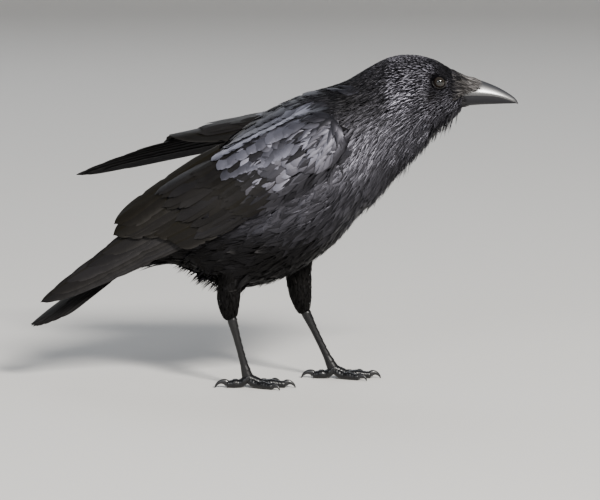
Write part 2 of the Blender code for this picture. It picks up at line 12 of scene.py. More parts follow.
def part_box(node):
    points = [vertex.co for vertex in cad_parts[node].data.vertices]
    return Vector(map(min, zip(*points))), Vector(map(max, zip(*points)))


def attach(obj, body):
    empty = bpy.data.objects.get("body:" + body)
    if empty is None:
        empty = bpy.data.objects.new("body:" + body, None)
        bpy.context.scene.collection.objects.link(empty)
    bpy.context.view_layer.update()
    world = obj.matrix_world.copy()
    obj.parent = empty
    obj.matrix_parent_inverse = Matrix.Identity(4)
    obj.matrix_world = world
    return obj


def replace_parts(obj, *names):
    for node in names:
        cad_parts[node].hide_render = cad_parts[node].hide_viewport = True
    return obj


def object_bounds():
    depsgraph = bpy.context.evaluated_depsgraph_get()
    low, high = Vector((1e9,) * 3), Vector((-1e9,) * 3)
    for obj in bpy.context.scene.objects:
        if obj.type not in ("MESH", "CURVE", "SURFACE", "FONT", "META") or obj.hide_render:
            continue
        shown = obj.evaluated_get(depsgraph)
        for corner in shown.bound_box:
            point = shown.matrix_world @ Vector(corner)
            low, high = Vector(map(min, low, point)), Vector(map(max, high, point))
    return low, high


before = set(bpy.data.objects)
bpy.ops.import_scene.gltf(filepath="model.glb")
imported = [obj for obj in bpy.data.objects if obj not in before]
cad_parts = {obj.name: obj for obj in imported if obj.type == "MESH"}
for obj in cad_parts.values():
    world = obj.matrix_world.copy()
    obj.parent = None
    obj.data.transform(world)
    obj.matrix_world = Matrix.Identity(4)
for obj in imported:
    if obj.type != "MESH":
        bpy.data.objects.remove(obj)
first_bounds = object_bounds()
rng = np.random.default_rng(11)
MM = 0.001
UP = np.array((0.0, 0.0, 1.0))

# The bird's own frame: millimetres, with its midline at y = 0 and its bill tip at x = 217.4.
bill_low, bill_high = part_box("upper_bill")
SHIFT = np.array((bill_high.x / MM - 217.4, (bill_low.y + bill_high.y) / 2 / MM, 0.0))

FLESH = [
    "head", "neck", "trunk", "tail_coverts", "thigh_left", "thigh_right",
    "wing_left_coverts", "wing_right_coverts",
]
FLIGHTS = [
    "wing_left_secondaries", "wing_left_primaries", "wing_right_secondaries", "wing_right_primaries", "tail",
]
# How far the skin lies inside the flesh, which is the outside of the coat.
COAT_DEPTH = {
    "head": 1.3, "neck": 2.6, "trunk": 3.6, "tail_coverts": 2.4, "thigh_left": 2.0, "thigh_right": 2.0,
    "wing_left_coverts": 2.4, "wing_right_coverts": 2.4,
}
EYE_CENTRE = np.array((146.6, 12.3, 271.3))
EYE_RADIUS = 6.4


def unit(vectors):
    """The same directions with a length of one."""
    vectors = np.asarray(vectors, float)
    return vectors / np.maximum(np.linalg.norm(vectors, axis=-1, keepdims=True), 1e-12)


def blend_rows(rows, place):
    """Read a smooth curve through rows of numbers at a place counted in rows."""
    rows = np.asarray(rows, float)
    start = min(max(int(place), 0), len(rows) - 2)
    t = place - start
    a, b, c, d = (rows[min(max(start + k, 0), len(rows) - 1)] for k in (-1, 0, 1, 2))
    slope_b, slope_c = (c - a) / 2, (d - b) / 2
    return (
        (2 * t**3 - 3 * t**2 + 1) * b + (t**3 - 2 * t**2 + t) * slope_b
        + (3 * t**2 - 2 * t**3) * c + (t**3 - t**2) * slope_c
    )


# Materials.

def new_group(name, inputs, outputs):
    """An empty shader node group with named sockets, and its two end nodes."""
    group = bpy.data.node_groups.new(name, "ShaderNodeTree")
    for label, kind, value in inputs:
        socket = group.interface.new_socket(label, in_out="INPUT", socket_type=kind)
        socket.default_value = value
    for label, kind in outputs:
        group.interface.new_socket(label, in_out="OUTPUT", socket_type=kind)
    return group, group.nodes.new("NodeGroupInput"), group.nodes.new("NodeGroupOutput")


def node(tree, kind, inputs=(), **settings):
    """Add a node, set its properties, and link or set its inputs."""
    made = tree.nodes.new(kind)
    for key, value in settings.items():
        setattr(made, key, value)
    for key, value in dict(inputs).items():
        if isinstance(value, bpy.types.NodeSocket):
            tree.links.new(value, made.inputs[key])
        else:
            made.inputs[key].default_value = value
    return made


BARB_WAVES = 110.0  # radians of the wave of barbs from a feather's root to its tip
BARB_SLANT = -45.0  # how far that wave falls back from the shaft to the edge


def plumage_group():
    """Black plumage: marks carries its gloss, brownness and tone, and barb its place on the feather."""
    group, entry, leave = new_group(
        "plumage",
        [
            ("Black", "NodeSocketColor", (0.0022, 0.0022, 0.0028, 1)),
            # Brown: the real brown of wear and bristles, and on the flight feathers also a painted warm
            # reflection.
            ("Brown", "NodeSocketColor", (0.0058, 0.0045, 0.0010, 1)),
            ("Gloss", "NodeSocketColor", (0.270, 0.263, 0.312, 1)),
            ("Pale", "NodeSocketColor", (0.20, 0.19, 0.19, 1)),
            ("Roughness", "NodeSocketFloat", 0.37),
        ],
        [("Color", "NodeSocketColor"), ("Roughness", "NodeSocketFloat"), ("Metallic", "NodeSocketFloat"),
         ("Normal", "NodeSocketVector")],
    )
    marks = node(group, "ShaderNodeAttribute", attribute_name="marks")
    split = node(group, "ShaderNodeSeparateColor", {0: marks.outputs["Color"]})
    gloss, brown, tone = split.outputs
    uv = node(group, "ShaderNodeUVMap", uv_map="barb")
    place = node(group, "ShaderNodeSeparateXYZ", {0: uv.outputs[0]})
    across = node(group, "ShaderNodeMath", {0: place.outputs[1], 1: 0.5}, operation="SUBTRACT")
    offside = node(group, "ShaderNodeMath", {0: across.outputs[0]}, operation="ABSOLUTE")
    slant = node(group, "ShaderNodeMath", {0: offside.outputs[0], 1: BARB_SLANT}, operation="MULTIPLY")
    phase = node(
        group, "ShaderNodeMath", {0: place.outputs[0], 1: BARB_WAVES, 2: slant.outputs[0]},
        operation="MULTIPLY_ADD",
    )
    wave = node(group, "ShaderNodeMath", {0: phase.outputs[0]}, operation="SINE")
    coordinates = node(group, "ShaderNodeTexCoord")
    noise = node(
        group, "ShaderNodeTexNoise",
        {"Vector": coordinates.outputs["Object"], "Scale": 160.0, "Detail": 3.0},
    )
    base = node(
        group, "ShaderNodeMix", {0: brown, 6: entry.outputs["Black"], 7: entry.outputs["Brown"]},
        data_type="RGBA",
    )
    glossy = node(
        group, "ShaderNodeMix", {0: gloss, 6: base.outputs[2], 7: entry.outputs["Gloss"]}, data_type="RGBA",
    )
    # Toward pale by tone: worn edges of flight feathers, the lids' rim and the bristles, and painted glints
    # at a few feathers' tips.
    light = node(group, "ShaderNodeMath", {0: tone, 1: noise.outputs["Fac"]}, operation="MULTIPLY")
    worn_and_painted_light = node(
        group, "ShaderNodeMix", {0: light.outputs[0], 6: glossy.outputs[2], 7: entry.outputs["Pale"]},
        data_type="RGBA",
    )
    shine = node(
        group, "ShaderNodeMath", {0: gloss, 1: 4.0, 2: 0.45}, operation="MULTIPLY_ADD", use_clamp=True,
    )
    matt = node(
        group, "ShaderNodeMath", {0: brown, 1: -0.4, 2: 1.0}, operation="MULTIPLY_ADD", use_clamp=True,
    )
    metallic = node(group, "ShaderNodeMath", {0: shine.outputs[0], 1: matt.outputs[0]}, operation="MULTIPLY")
    uneven = node(
        group, "ShaderNodeMath", {0: noise.outputs["Fac"], 1: 0.14, 2: entry.outputs["Roughness"]},
        operation="MULTIPLY_ADD",
    )
    rough = node(
        group, "ShaderNodeMath", {0: brown, 1: 0.08, 2: uneven.outputs[0]}, operation="MULTIPLY_ADD",
    )
    bump = node(group, "ShaderNodeBump", {"Strength": 0.06, "Distance": 0.0002, "Height": wave.outputs[0]})
    group.links.new(worn_and_painted_light.outputs[2], leave.inputs["Color"])
    group.links.new(rough.outputs[0], leave.inputs["Roughness"])
    group.links.new(metallic.outputs[0], leave.inputs["Metallic"])
    group.links.new(bump.outputs[0], leave.inputs["Normal"])
    return group


def material(name, colour=(0.02, 0.02, 0.02), roughness=0.5, **settings):
    """A material, its node tree and its shader, with further shader inputs by name."""
    made = bpy.data.materials.new(name)
    made.use_nodes = True
    shader = made.node_tree.nodes["Principled BSDF"]
    shader.inputs["Base Color"].default_value = (*colour, 1)
    shader.inputs["Roughness"].default_value = roughness
    for key, value in settings.items():
        shader.inputs[key.replace("_", " ")].default_value = value
    return made, made.node_tree, shader


def feather_material(name, group, values, **settings):
    """A material whose looks come from the plumage group, with its own values for the group's inputs."""
    made, tree, shader = material(name, **settings)
    plumage = node(tree, "ShaderNodeGroup", node_tree=group)
    for key, value in values.items():
        plumage.inputs[key].default_value = value
    targets = {"Color": "Base Color", "Roughness": "Roughness", "Metallic": "Metallic", "Normal": "Normal"}
    for source, target in targets.items():
        tree.links.new(plumage.outputs[source], shader.inputs[target])
    return made


# Meshes.

SHARP_ANGLE = radians(75)
DOUBLES_APART = 2e-6  # metres


def add_mesh(name, verts, tris, mat, slot, marks=None, barb=None, bake=None):
    """An object from arrays in the bird's frame: points, triangles, and per-point data."""
    mesh = bpy.data.meshes.new(name)
    world = (np.asarray(verts, float) + SHIFT) * MM
    tris = np.asarray(tris, np.int32)
    mesh.vertices.add(len(world))
    mesh.vertices.foreach_set("co", world.ravel())
    mesh.loops.add(tris.size)
    mesh.loops.foreach_set("vertex_index", tris.ravel())
    mesh.polygons.add(len(tris))
    mesh.polygons.foreach_set("loop_start", np.arange(0, tris.size, 3, dtype=np.int32))
    mesh.update(calc_edges=True)
    mesh.shade_smooth()
    mesh.set_sharp_from_angle(angle=SHARP_ANGLE)
    for map_name, places in (("OFBake", bake), ("barb", barb)):
        if places is not None:
            layer = mesh.uv_layers.new(name=map_name)
            layer.data.foreach_set("uv", places[tris.ravel()].ravel())
    if marks is not None:
        attribute = mesh.attributes.new("marks", "FLOAT_COLOR", "POINT")
        attribute.data.foreach_set("color", np.column_stack([marks, np.ones(len(marks))]).ravel())
    mesh.materials.append(mat)
    obj = bpy.data.objects.new(name, mesh)
    bpy.context.scene.collection.objects.link(obj)
    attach(obj, "root")
    return obj


def node_mesh(name):
    """A CAD node's points and normals, in the bird's frame, and its triangles, with doubles merged."""
    bm = bmesh.new()
    bm.from_mesh(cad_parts[name].data)
    bmesh.ops.remove_doubles(bm, verts=bm.verts, dist=DOUBLES_APART)
    bmesh.ops.triangulate(bm, faces=bm.faces)
    bm.normal_update()
    points = np.array([v.co for v in bm.verts]) / MM - SHIFT
    normals = np.array([v.normal for v in bm.verts])
    faces = np.array([[v.index for v in f.verts] for f in bm.faces])
    bm.free()
    return points, normals, faces


def grid_tris(a, b, c, d):
    """Two triangles for each cell of a grid, from its corners a, b and, one row on, c, d."""
    return np.concatenate([np.stack([a, b, d], -1).reshape(-1, 3), np.stack([a, d, c], -1).reshape(-1, 3)])


def rings_mesh(rings):
    """Close a row of rings of points into triangles, with a fan at each end."""
    rings = np.asarray(rings, float)
    count, sides = rings.shape[:2]
    points = np.vstack([rings.reshape(-1, 3), rings[0].mean(0), rings[-1].mean(0)])
    i, j = np.meshgrid(np.arange(count - 1), np.arange(sides), indexing="ij")
    a, b = i * sides + j, i * sides + (j + 1) % sides
    tris = grid_tris(a, b, a + sides, b + sides)
    k = np.arange(sides)
    first = np.stack([(k + 1) % sides, k, np.full(sides, count * sides)], -1)
    base = (count - 1) * sides
    last = np.stack([base + k, base + (k + 1) % sides, np.full(sides, count * sides + 1)], -1)
    return points, outward(points, np.concatenate([tris, first, last]))


def outward(points, tris):
    """The same triangles, turned if they enclose a negative volume."""
    a, b, c = (points[tris[:, k]] for k in range(3))
    volume = np.einsum("ij,ij->i", a, np.cross(b, c)).sum()
    return tris if volume > 0 else tris[:, ::-1]


def merged(parts):
    """Join (points, triangles) pairs."""
    points, tris, start = [], [], 0
    for part_points, part_tris in parts:
        points.append(part_points)
        tris.append(part_tris + start)
        start += len(part_points)
    return np.vstack(points), np.vstack(tris)


# The skin, from the flesh.

SKIN_VOXEL = 1.7
SKIN_SMOOTHING = 14
FLESH_SWELL = 0.4  # how far the flesh is swelled before it is smoothed
FACE_START = 148.0  # from here forward the skin lies FACE_DEPTH inside the flesh
FACE_DEPTH = 0.8
DEPTH_SMOOTHING = 12

LID_LEAN = radians(-14)
LID_STRETCH = (1.10, 0.96)
LID_RADIUS = 5.6
LID_WIDTH = 0.62
LID_HEIGHT = 0.55
LID_CLEARANCE = 0.25
SOCKET_RADIUS = 5.15
SOCKET_DEPTH = 2.6


def remeshed(points, faces):
    """One closed, smoothed mesh round overlapping solids."""
    mesh = bpy.data.meshes.new("flesh")
    mesh.from_pydata(points.tolist(), [], faces.tolist())
    obj = bpy.data.objects.new("flesh", mesh)
    bpy.context.scene.collection.objects.link(obj)
    remesh = obj.modifiers.new("remesh", "REMESH")
    remesh.mode = "VOXEL"
    remesh.voxel_size = SKIN_VOXEL
    smooth = obj.modifiers.new("smooth", "SMOOTH")
    smooth.factor, smooth.iterations = 0.5, SKIN_SMOOTHING
    bpy.context.view_layer.update()
    made = bpy.data.meshes.new_from_object(obj.evaluated_get(bpy.context.evaluated_depsgraph_get()))
    bpy.data.objects.remove(obj)
    return made


def flesh_surface():
    """One smooth surface through the flesh, and the node that each of its points belongs to."""
    parts, owners = [], []
    for index, name in enumerate(FLESH):
        points, normals, faces = node_mesh(name)
        parts.append((points + normals * FLESH_SWELL, faces))
        owners.append(np.full(len(faces), index))
    points, faces = merged(parts)
    owners = np.concatenate(owners)
    nearest = BVHTree.FromPolygons(points.tolist(), faces.tolist())
    mesh = remeshed(points, faces)
    co = np.array([v.co for v in mesh.vertices])
    owner = np.array([owners[nearest.find_nearest(v.co)[2]] for v in mesh.vertices])
    return mesh, co, owner


def smooth_values(values, edges, count, rounds):
    """Even out a value at each point by that of the points it shares an edge with."""
    values = np.asarray(values, float)
    degree = np.bincount(edges.ravel(), minlength=count).astype(float)
    for _ in range(rounds):
        total = np.zeros_like(values)
        np.add.at(total, edges[:, 0], values[edges[:, 1]])
        np.add.at(total, edges[:, 1], values[edges[:, 0]])
        values = (values + total / degree) / 2
    return values


def eye_polar(points):
    """Distance from the eye's own axis, stretched a little along the lids, for points on either side."""
    x, z = points[:, 0] - EYE_CENTRE[0], points[:, 2] - EYE_CENTRE[2]
    along = x * cos(LID_LEAN) + z * sin(LID_LEAN)
    over = z * cos(LID_LEAN) - x * sin(LID_LEAN)
    return np.hypot(along / LID_STRETCH[0], over / LID_STRETCH[1])


def shape_face(points):
    """Sink the eye sockets and raise the lids round the eyeballs."""
    side = np.sign(points[:, 1])
    cheek = (np.abs(points[:, 1]) > 5) & (points[:, 0] > 125) & (points[:, 0] < 168) & (points[:, 2] > 255)
    distance = eye_polar(points)
    ball = EYE_CENTRE[1] + np.sqrt(np.maximum(EYE_RADIUS**2 - np.minimum(distance, 6.2) ** 2, 0))
    inside = np.clip((SOCKET_RADIUS - distance) / 0.5, 0, 1)
    lid = np.exp(-(((distance - LID_RADIUS) / LID_WIDTH) ** 2)) * LID_HEIGHT
    target = ball + LID_CLEARANCE + lid - inside * SOCKET_DEPTH
    share = np.clip((10.5 - distance) / 4.6, 0, 1)
    share = share * share * (3 - 2 * share) * cheek
    moved = points.copy()
    moved[:, 1] = points[:, 1] * (1 - share) + side * target * share
    return moved


def build_skin(mesh, surface, owner):
    """The skin under the coat: its points, its triangles and the node that each point belongs to."""
    bm = bmesh.new()
    bm.from_mesh(mesh)
    close = [
        e for e in bm.edges
        if np.linalg.norm((abs(e.verts[0].co.x - EYE_CENTRE[0]), e.verts[0].co.z - EYE_CENTRE[2])) < 12
        and abs(e.verts[0].co.y) > 6
    ]
    bmesh.ops.subdivide_edges(bm, edges=close, cuts=2, use_grid_fill=True, smooth=0.0)
    bmesh.ops.triangulate(bm, faces=bm.faces)
    bm.normal_update()
    points = np.array([v.co for v in bm.verts])
    normals = np.array([v.normal for v in bm.verts])
    faces = np.array([[v.index for v in f.verts] for f in bm.faces])
    edges = np.array([[v.index for v in e.verts] for e in bm.edges])
    bm.free()
    lookup = BVHTree.FromPolygons(surface.tolist(), [list(p.vertices) for p in mesh.polygons])
    corners = [p.vertices[0] for p in mesh.polygons]
    node_of = np.array([owner[corners[lookup.find_nearest(p)[2]]] for p in points.tolist()])
    depth = np.array([COAT_DEPTH[name] for name in FLESH])[node_of]
    depth = np.where(points[:, 0] > FACE_START, FACE_DEPTH, depth)
    depth = smooth_values(depth, edges, len(points), DEPTH_SMOOTHING)
    points = shape_face(points - normals * depth[:, None])
    return points, faces, node_of


# The lie of the coat.

FLOW = np.array([
    # x, z, and the direction (x, z) that the feathers lie in
    (168, 276, -1.0, 0.35), (150, 289, -1.0, 0.2), (124, 296, -1.0, -0.1), (100, 289, -0.9, -0.5),
    (164, 244, -0.7, -0.7), (150, 232, -0.55, -0.83), (133, 215, -0.5, -0.87), (118, 198, -0.5, -0.87),
    (146, 262, -1.0, -0.15), (125, 258, -0.95, -0.35), (104, 245, -0.85, -0.6), (80, 278, -0.85, -0.55),
    (100, 190, -0.5, -0.87), (85, 165, -0.55, -0.83), (70, 145, -0.7, -0.72), (40, 118, -0.85, -0.5),
    (10, 98, -0.97, -0.25), (-20, 90, -1.0, 0.1), (-50, 92, -0.95, 0.3), (-80, 108, -0.9, 0.1),
    (50, 262, -0.95, -0.35), (20, 255, -0.9, -0.45), (-12, 240, -0.85, -0.55), (-40, 215, -0.75, -0.65),
    (-70, 185, -0.72, -0.7), (-100, 158, -0.75, -0.65), (-130, 132, -0.77, -0.63), (-150, 105, -0.85, -0.5),
    (60, 210, -0.75, -0.65), (30, 170, -0.85, -0.5), (0, 140, -0.92, -0.38), (-40, 130, -0.95, -0.3),
    (85, 215, -0.7, -0.7),
])
WING_LENGTH = 288.0
# Across the wing, its surface is level as far as FOLD_START and then turns down over FOLD_WIDTH.
FOLD_START = 10.0
FOLD_WIDTH = 22.0
WINGS = {
    "right": {
        "wrist": (44.0, -47.0, 222.0), "tip": (-207.0, -32.0, 77.5), "inward": (-0.45, 0.22, 0.82),
        "outward": (0.0, -1.0, 0.0), "fold": 38.0, "cross_camber": 5.0, "long_camber": 5.0, "slide": 0.0,
    },
    "left": {
        "wrist": (68.0, 47.0, 244.0), "tip": (-184.5, 135.0, 177.5), "inward": (0.0, -0.86, 0.50),
        "outward": (0.0, 0.5, 0.86), "fold": 65.0, "cross_camber": 4.0, "long_camber": 3.0, "slide": -21.0,
    },
}


def wing_frame(wing):
    """A wing's wrist, its axes along, inward and outward, and its length against WING_LENGTH."""
    wrist, tip = np.array(wing["wrist"]), np.array(wing["tip"])
    along = unit(tip - wrist)
    inward = np.array(wing["inward"])
    inward = unit(inward - along * inward.dot(along))
    outward_axis = unit(np.cross(along, inward))
    if outward_axis.dot(wing["outward"]) < 0:
        outward_axis = -outward_axis
    return wrist, along, inward, outward_axis, np.linalg.norm(tip - wrist) / WING_LENGTH


def wing_points(wing, u, v, w):
    """Places on a wing: u along it from the wrist, v inward across it and w out from its surface."""
    u, v, w = np.broadcast_arrays(*(np.asarray(x, float) for x in (u, v, w)))
    wrist, along, inward, out, reach = wing_frame(wing)
    fold = radians(wing["fold"])
    turn = np.clip((v - FOLD_START) / FOLD_WIDTH, 0, 1) * fold
    radius = FOLD_WIDTH / fold
    beyond = np.maximum(v - (FOLD_START + FOLD_WIDTH), 0)
    across = np.minimum(v, FOLD_START) + radius * np.sin(turn) + beyond * cos(fold)
    under = radius * (1 - np.cos(turn)) + beyond * sin(fold)
    fade = 1 - 0.7 * np.maximum(u, 0) / WING_LENGTH
    cross = wing["cross_camber"] * fade * np.maximum(1 - ((v + 4) / 40) ** 2, 0)
    lengthwise = wing["long_camber"] * (1 - ((u - WING_LENGTH / 2) / (WING_LENGTH / 2)) ** 2)
    lift = out * np.cos(turn)[..., None] + inward * np.sin(turn)[..., None]
    surface = wrist + along * (u * reach)[..., None] + inward * across[..., None]
    surface = surface + out * (lengthwise - under)[..., None]
    return surface + lift * (w + cross)[..., None]


def flow_at(point, name):
    """The direction in which the feathers lie at a point of a node."""
    if name.startswith("wing"):
        return wing_frame(WINGS["left" if "left" in name else "right"])[1]
    if name.startswith("thigh"):
        return np.array((-0.12, 0.0, -1.0))
    weight = 1 / (((FLOW[:, :2] - point[[0, 2]]) ** 2).sum(1) + 20) ** 1.5
    x, z = unit((FLOW[:, 2:] * weight[:, None]).sum(0))
    return unit((x, 0.12 * np.sign(point[1]) * (point[0] > 120), z))


# Feathers as closed blades.

def blade(outline, columns, notches):
    """A closed blade: how far along, across and up each point is, the triangles, and its share across."""
    rows = len(outline)
    along = np.repeat([t for t, _ in outline], columns).reshape(rows, columns)
    width = np.repeat([w for _, w in outline], columns).reshape(rows, columns)
    s = np.tile(np.linspace(-1, 1, columns), (rows, 1))
    for column, notch in enumerate(notches):
        along[-1, column] -= notch
        along[-2, column] -= notch * 0.35
    high = (1 - s**2) * np.minimum(1, 0.25 + 3 * (1 - along))
    tris = []
    for i in range(rows - 1):
        for j in range(columns - 1):
            a, b = i * columns + j, i * columns + j + 1
            tris += [(a, b, b + columns), (a, b + columns, a + columns)]
        a, b = i * columns, i * columns + columns - 1
        tris += [(a, b + columns, b), (a, a + columns, b + columns)]
    last = (rows - 1) * columns
    for j in range(1, columns - 1):
        tris += [(0, j + 1, j), (last, last + j, last + j + 1)]
    return along.ravel(), (s * width).ravel(), high.ravel(), np.array(tris), s.ravel()


# Outlines of feathers: share of the length, share of the width.
BROAD = [(0, 0.45), (0.25, 0.85), (0.5, 1.0), (0.72, 0.97), (0.86, 0.82), (0.94, 0.58), (1.0, 0.22)]
OVAL = [(0, 0.4), (0.3, 0.95), (0.6, 0.95), (0.85, 0.6), (1.0, 0.16)]
POINTED = [(0, 0.5), (0.3, 1.0), (0.65, 0.7), (1.0, 0.06)]
BLADES = {
    "broad": [
        blade(BROAD, 7, n) for n in (
            (0.05, 0.02, 0, 0, 0, 0.02, 0.05), (0.04, 0.01, 0, 0.012, 0, 0.01, 0.05),
            (0.07, 0.02, 0.01, 0, 0.03, 0.0, 0.04),
        )
    ],
    "frayed": [
        blade(OVAL, 7, n) for n in (
            (0.3, 0.08, 0.2, 0, 0.16, 0.05, 0.28), (0.24, 0.1, 0.02, 0.15, 0, 0.2, 0.12),
            (0.32, 0.15, 0.04, 0.18, 0.06, 0, 0.26), (0.1, 0.25, 0.05, 0.1, 0, 0.22, 0.3),
        )
    ],
    "hackle": [
        blade(POINTED, 5, n) for n in (
            (0.35, 0.12, 0, 0.18, 0.3), (0.25, 0, 0.14, 0.05, 0.36), (0.3, 0.2, 0, 0.1, 0.4),
        )
    ],
    "fine": [blade(POINTED, 3, n) for n in ((0.25, 0, 0.2), (0.1, 0, 0.3), (0.3, 0, 0.15))],
}


TRIANGLE_LIMIT = 190000
# On the OFBake map: the side of one feather's patch, the share that the roots take up, and the margin.
BAKE_PATCH, BAKE_FIT, BAKE_EDGE = 0.003, 0.992, 0.002


class Coat:
    """Feathers gathered into one mesh."""

    def __init__(self, name):
        self.name = name
        self.parts = []

    def lay(self, style, centres, normals, width, thickness, marks, tips=None):
        """centres and normals: (count, 3, 3) arrays at the root, middle and tip of each feather."""
        kinds = BLADES[style]
        chosen = rng.integers(0, len(kinds), len(centres))
        for k, (t, s, high, tris, edge) in enumerate(kinds):
            pick = np.flatnonzero(chosen == k)
            if not len(pick):
                continue
            c, n = centres[pick], normals[pick]
            # A curve through the three places, and its slope, at each point's share t of the length.
            basis = np.stack([(1 - t) * (1 - 2 * t), 4 * t * (1 - t), t * (2 * t - 1)], -1)
            slope = np.stack([4 * t - 3, 4 - 8 * t, 4 * t - 1], -1)
            middle = np.einsum("kb,nbd->nkd", basis, c)
            heading = unit(np.einsum("kb,nbd->nkd", slope, c))
            normal = unit(np.einsum("kb,nbd->nkd", basis, n))
            side = unit(np.cross(normal, heading))
            wide = (width[pick][:, None] / 2) * s
            points = middle + side * wide[..., None] + normal * (thickness[pick][:, None] * high)[..., None]
            mark = np.repeat(marks[pick][:, None, :], len(t), 1)
            # tips paints a pale end onto a feather: painted glints.
            if tips is not None:
                mark[..., 2] += tips[pick][:, None] * np.clip((t - 0.72) / 0.28, 0, 1)
            barb = np.stack([np.broadcast_to(t, wide.shape), np.broadcast_to(edge / 2 + 0.5, wide.shape)], -1)
            self.parts.append((points, tris, mark, barb, c[:, 0], t, s))

    def groups(self):
        """The feathers, shared out so that no group is over the limit of triangles."""
        groups, size = [[]], 0
        for points, tris, marks, barbs, roots, t, s in self.parts:
            step = max(1, TRIANGLE_LIMIT // len(tris))
            for start in range(0, len(points), step):
                some = slice(start, start + step)
                piece = (points[some], tris, marks[some], barbs[some], roots[some], t, s)
                amount = len(piece[0]) * len(tris)
                if size + amount > TRIANGLE_LIMIT and groups[-1]:
                    groups.append([])
                    size = 0
                groups[-1].append(piece)
                size += amount
        return groups

    def build(self, mat, bake_place):
        """Make a mesh of each group; bake_place lays the feathers' roots out flat."""
        for number, group in enumerate(self.groups()):
            points, faces, marks, barbs, bakes, start, used = [], [], [], [], [], 0, 0
            fit = bake_place(np.vstack([piece[4] for piece in group]))
            for verts, tris, mark, barb, _, t, s in group:
                count, size_k = verts.shape[:2]
                points.append(verts.reshape(-1, 3))
                faces.append((tris[None] + (np.arange(count) * size_k)[:, None, None] + start).reshape(-1, 3))
                marks.append(mark.reshape(-1, 3))
                barbs.append(barb.reshape(-1, 2))
                patch = np.stack([t + 0.12 * (1 - s**2), s * 0.5 + 0.5], -1) * BAKE_PATCH
                corner = fit[used:used + count][:, None, :] * BAKE_FIT + BAKE_EDGE
                bakes.append((corner + patch[None]).reshape(-1, 2))
                used += count
                start += count * size_k
            add_mesh(
                self.name + ("" if number == 0 else "_" + str(number + 1)),
                np.vstack(points), np.vstack(faces), mat, "plumage",
                marks=np.vstack(marks), barb=np.vstack(barbs), bake=np.vstack(bakes),
            )


# Where the coat grows and how it looks there.

SKY_START, SKY_REACH = 5.0, 8.0
STEP_ABOVE, STEP_REACH = 7.0, 16.0
SAME_SIDE = 0.1  # a surface that turns further away than this is another one
FLIGHT_SWELL = 0.5


class Lie:
    """Follows the coat's outer surface from a root to a feather's tip."""

    def __init__(self, mesh, surface):
        polygons = [list(p.vertices) for p in mesh.polygons]
        self.flesh = BVHTree.FromPolygons(surface.tolist(), polygons)
        flights = [
            (points + normals * FLIGHT_SWELL, faces) for points, normals, faces in map(node_mesh, FLIGHTS)
        ]
        everything, faces = merged([(surface, triangles_of(mesh)), merged(flights)])
        self.guide = BVHTree.FromPolygons(everything.tolist(), faces.tolist())

    def open_sky(self, points, normals):
        """Whether nothing lies close above the coat at each place."""
        starts = points + SKY_START * normals
        return np.array([
            self.guide.ray_cast(Vector(start), Vector(normal), SKY_REACH)[0] is None
            for start, normal in zip(starts, normals)
        ])

    def step(self, point, normal, direction, over_flights):
        """The surface one step on, met from above, so that a feather climbs over what rises ahead."""
        tree = self.guide if over_flights else self.flesh
        target = point + direction
        above = Vector(target + STEP_ABOVE * normal)
        hit, hit_normal, _, _ = tree.ray_cast(above, Vector(-normal), STEP_REACH)
        if hit is None or hit_normal.dot(Vector(normal)) < SAME_SIDE:
            hit, hit_normal, _, _ = tree.find_nearest(Vector(target))
        if hit_normal.dot(Vector(normal)) < SAME_SIDE:
            return target, normal
        return np.array(hit), np.array(hit_normal)

    def path(self, point, direction, length, sink, lift, over_flights=False):
        """Root, middle and tip, with their normals; the root is sunk and the tip lies on the coat."""
        root, normal, _, _ = self.flesh.find_nearest(Vector(point))
        root, normal = np.array(root), np.array(normal)
        ahead = unit(direction - normal * normal.dot(direction))
        middle, middle_normal = self.step(root, normal, ahead * length / 2, over_flights)
        onward = unit(ahead - middle_normal * middle_normal.dot(ahead))
        tip, tip_normal = self.step(middle, middle_normal, onward * length / 2, over_flights)
        hollow = ((root + tip) / 2 - middle).dot(middle_normal)
        middle = middle + middle_normal * (max(hollow, 0) * 0.85 - (sink - lift) * 0.35)
        return (root - normal * sink, middle, tip + tip_normal * lift), (normal, middle_normal, tip_normal)


def triangles_of(mesh):
    """A mesh's triangles as rows of three corners."""
    mesh.calc_loop_triangles()
    return np.array([t.vertices for t in mesh.loop_triangles])


def falloff(value, start, end):
    """Nought at the start and one at the end, with a soft step between them."""
    t = np.clip((value - start) / (end - start), 0, 1)
    return t * t * (3 - 2 * t)


def near(x, z, across, over, reach):
    """One at a place in side view, falling to nothing round it."""
    return np.exp(-((x - across) ** 2 + (z - over) ** 2) / reach**2)


BACK_LINE = np.array([
    # x and height of the bird's back
    (-160, 108), (-100, 150), (-60, 186), (-20, 222), (20, 248), (60, 262), (100, 280), (130, 284),
    (170, 270),
])
HEAD_START = 104
HEAD_GLOSS = 0.15
HEAD_SPOTS = [
    # x, z, reach and gloss: the cheek, below the eye, and the forehead
    (120, 261, 12, 0.17), (140, 259, 9, -0.14), (156, 282, 11, -0.13),
]
PLAIN_TONE = 0.004


def nape_shade(x, z):
    """Painted shade in the hollow between the nape and the back: how much gloss is left there."""
    return 1 - 0.88 * near(x, z, 68, 260, 22)


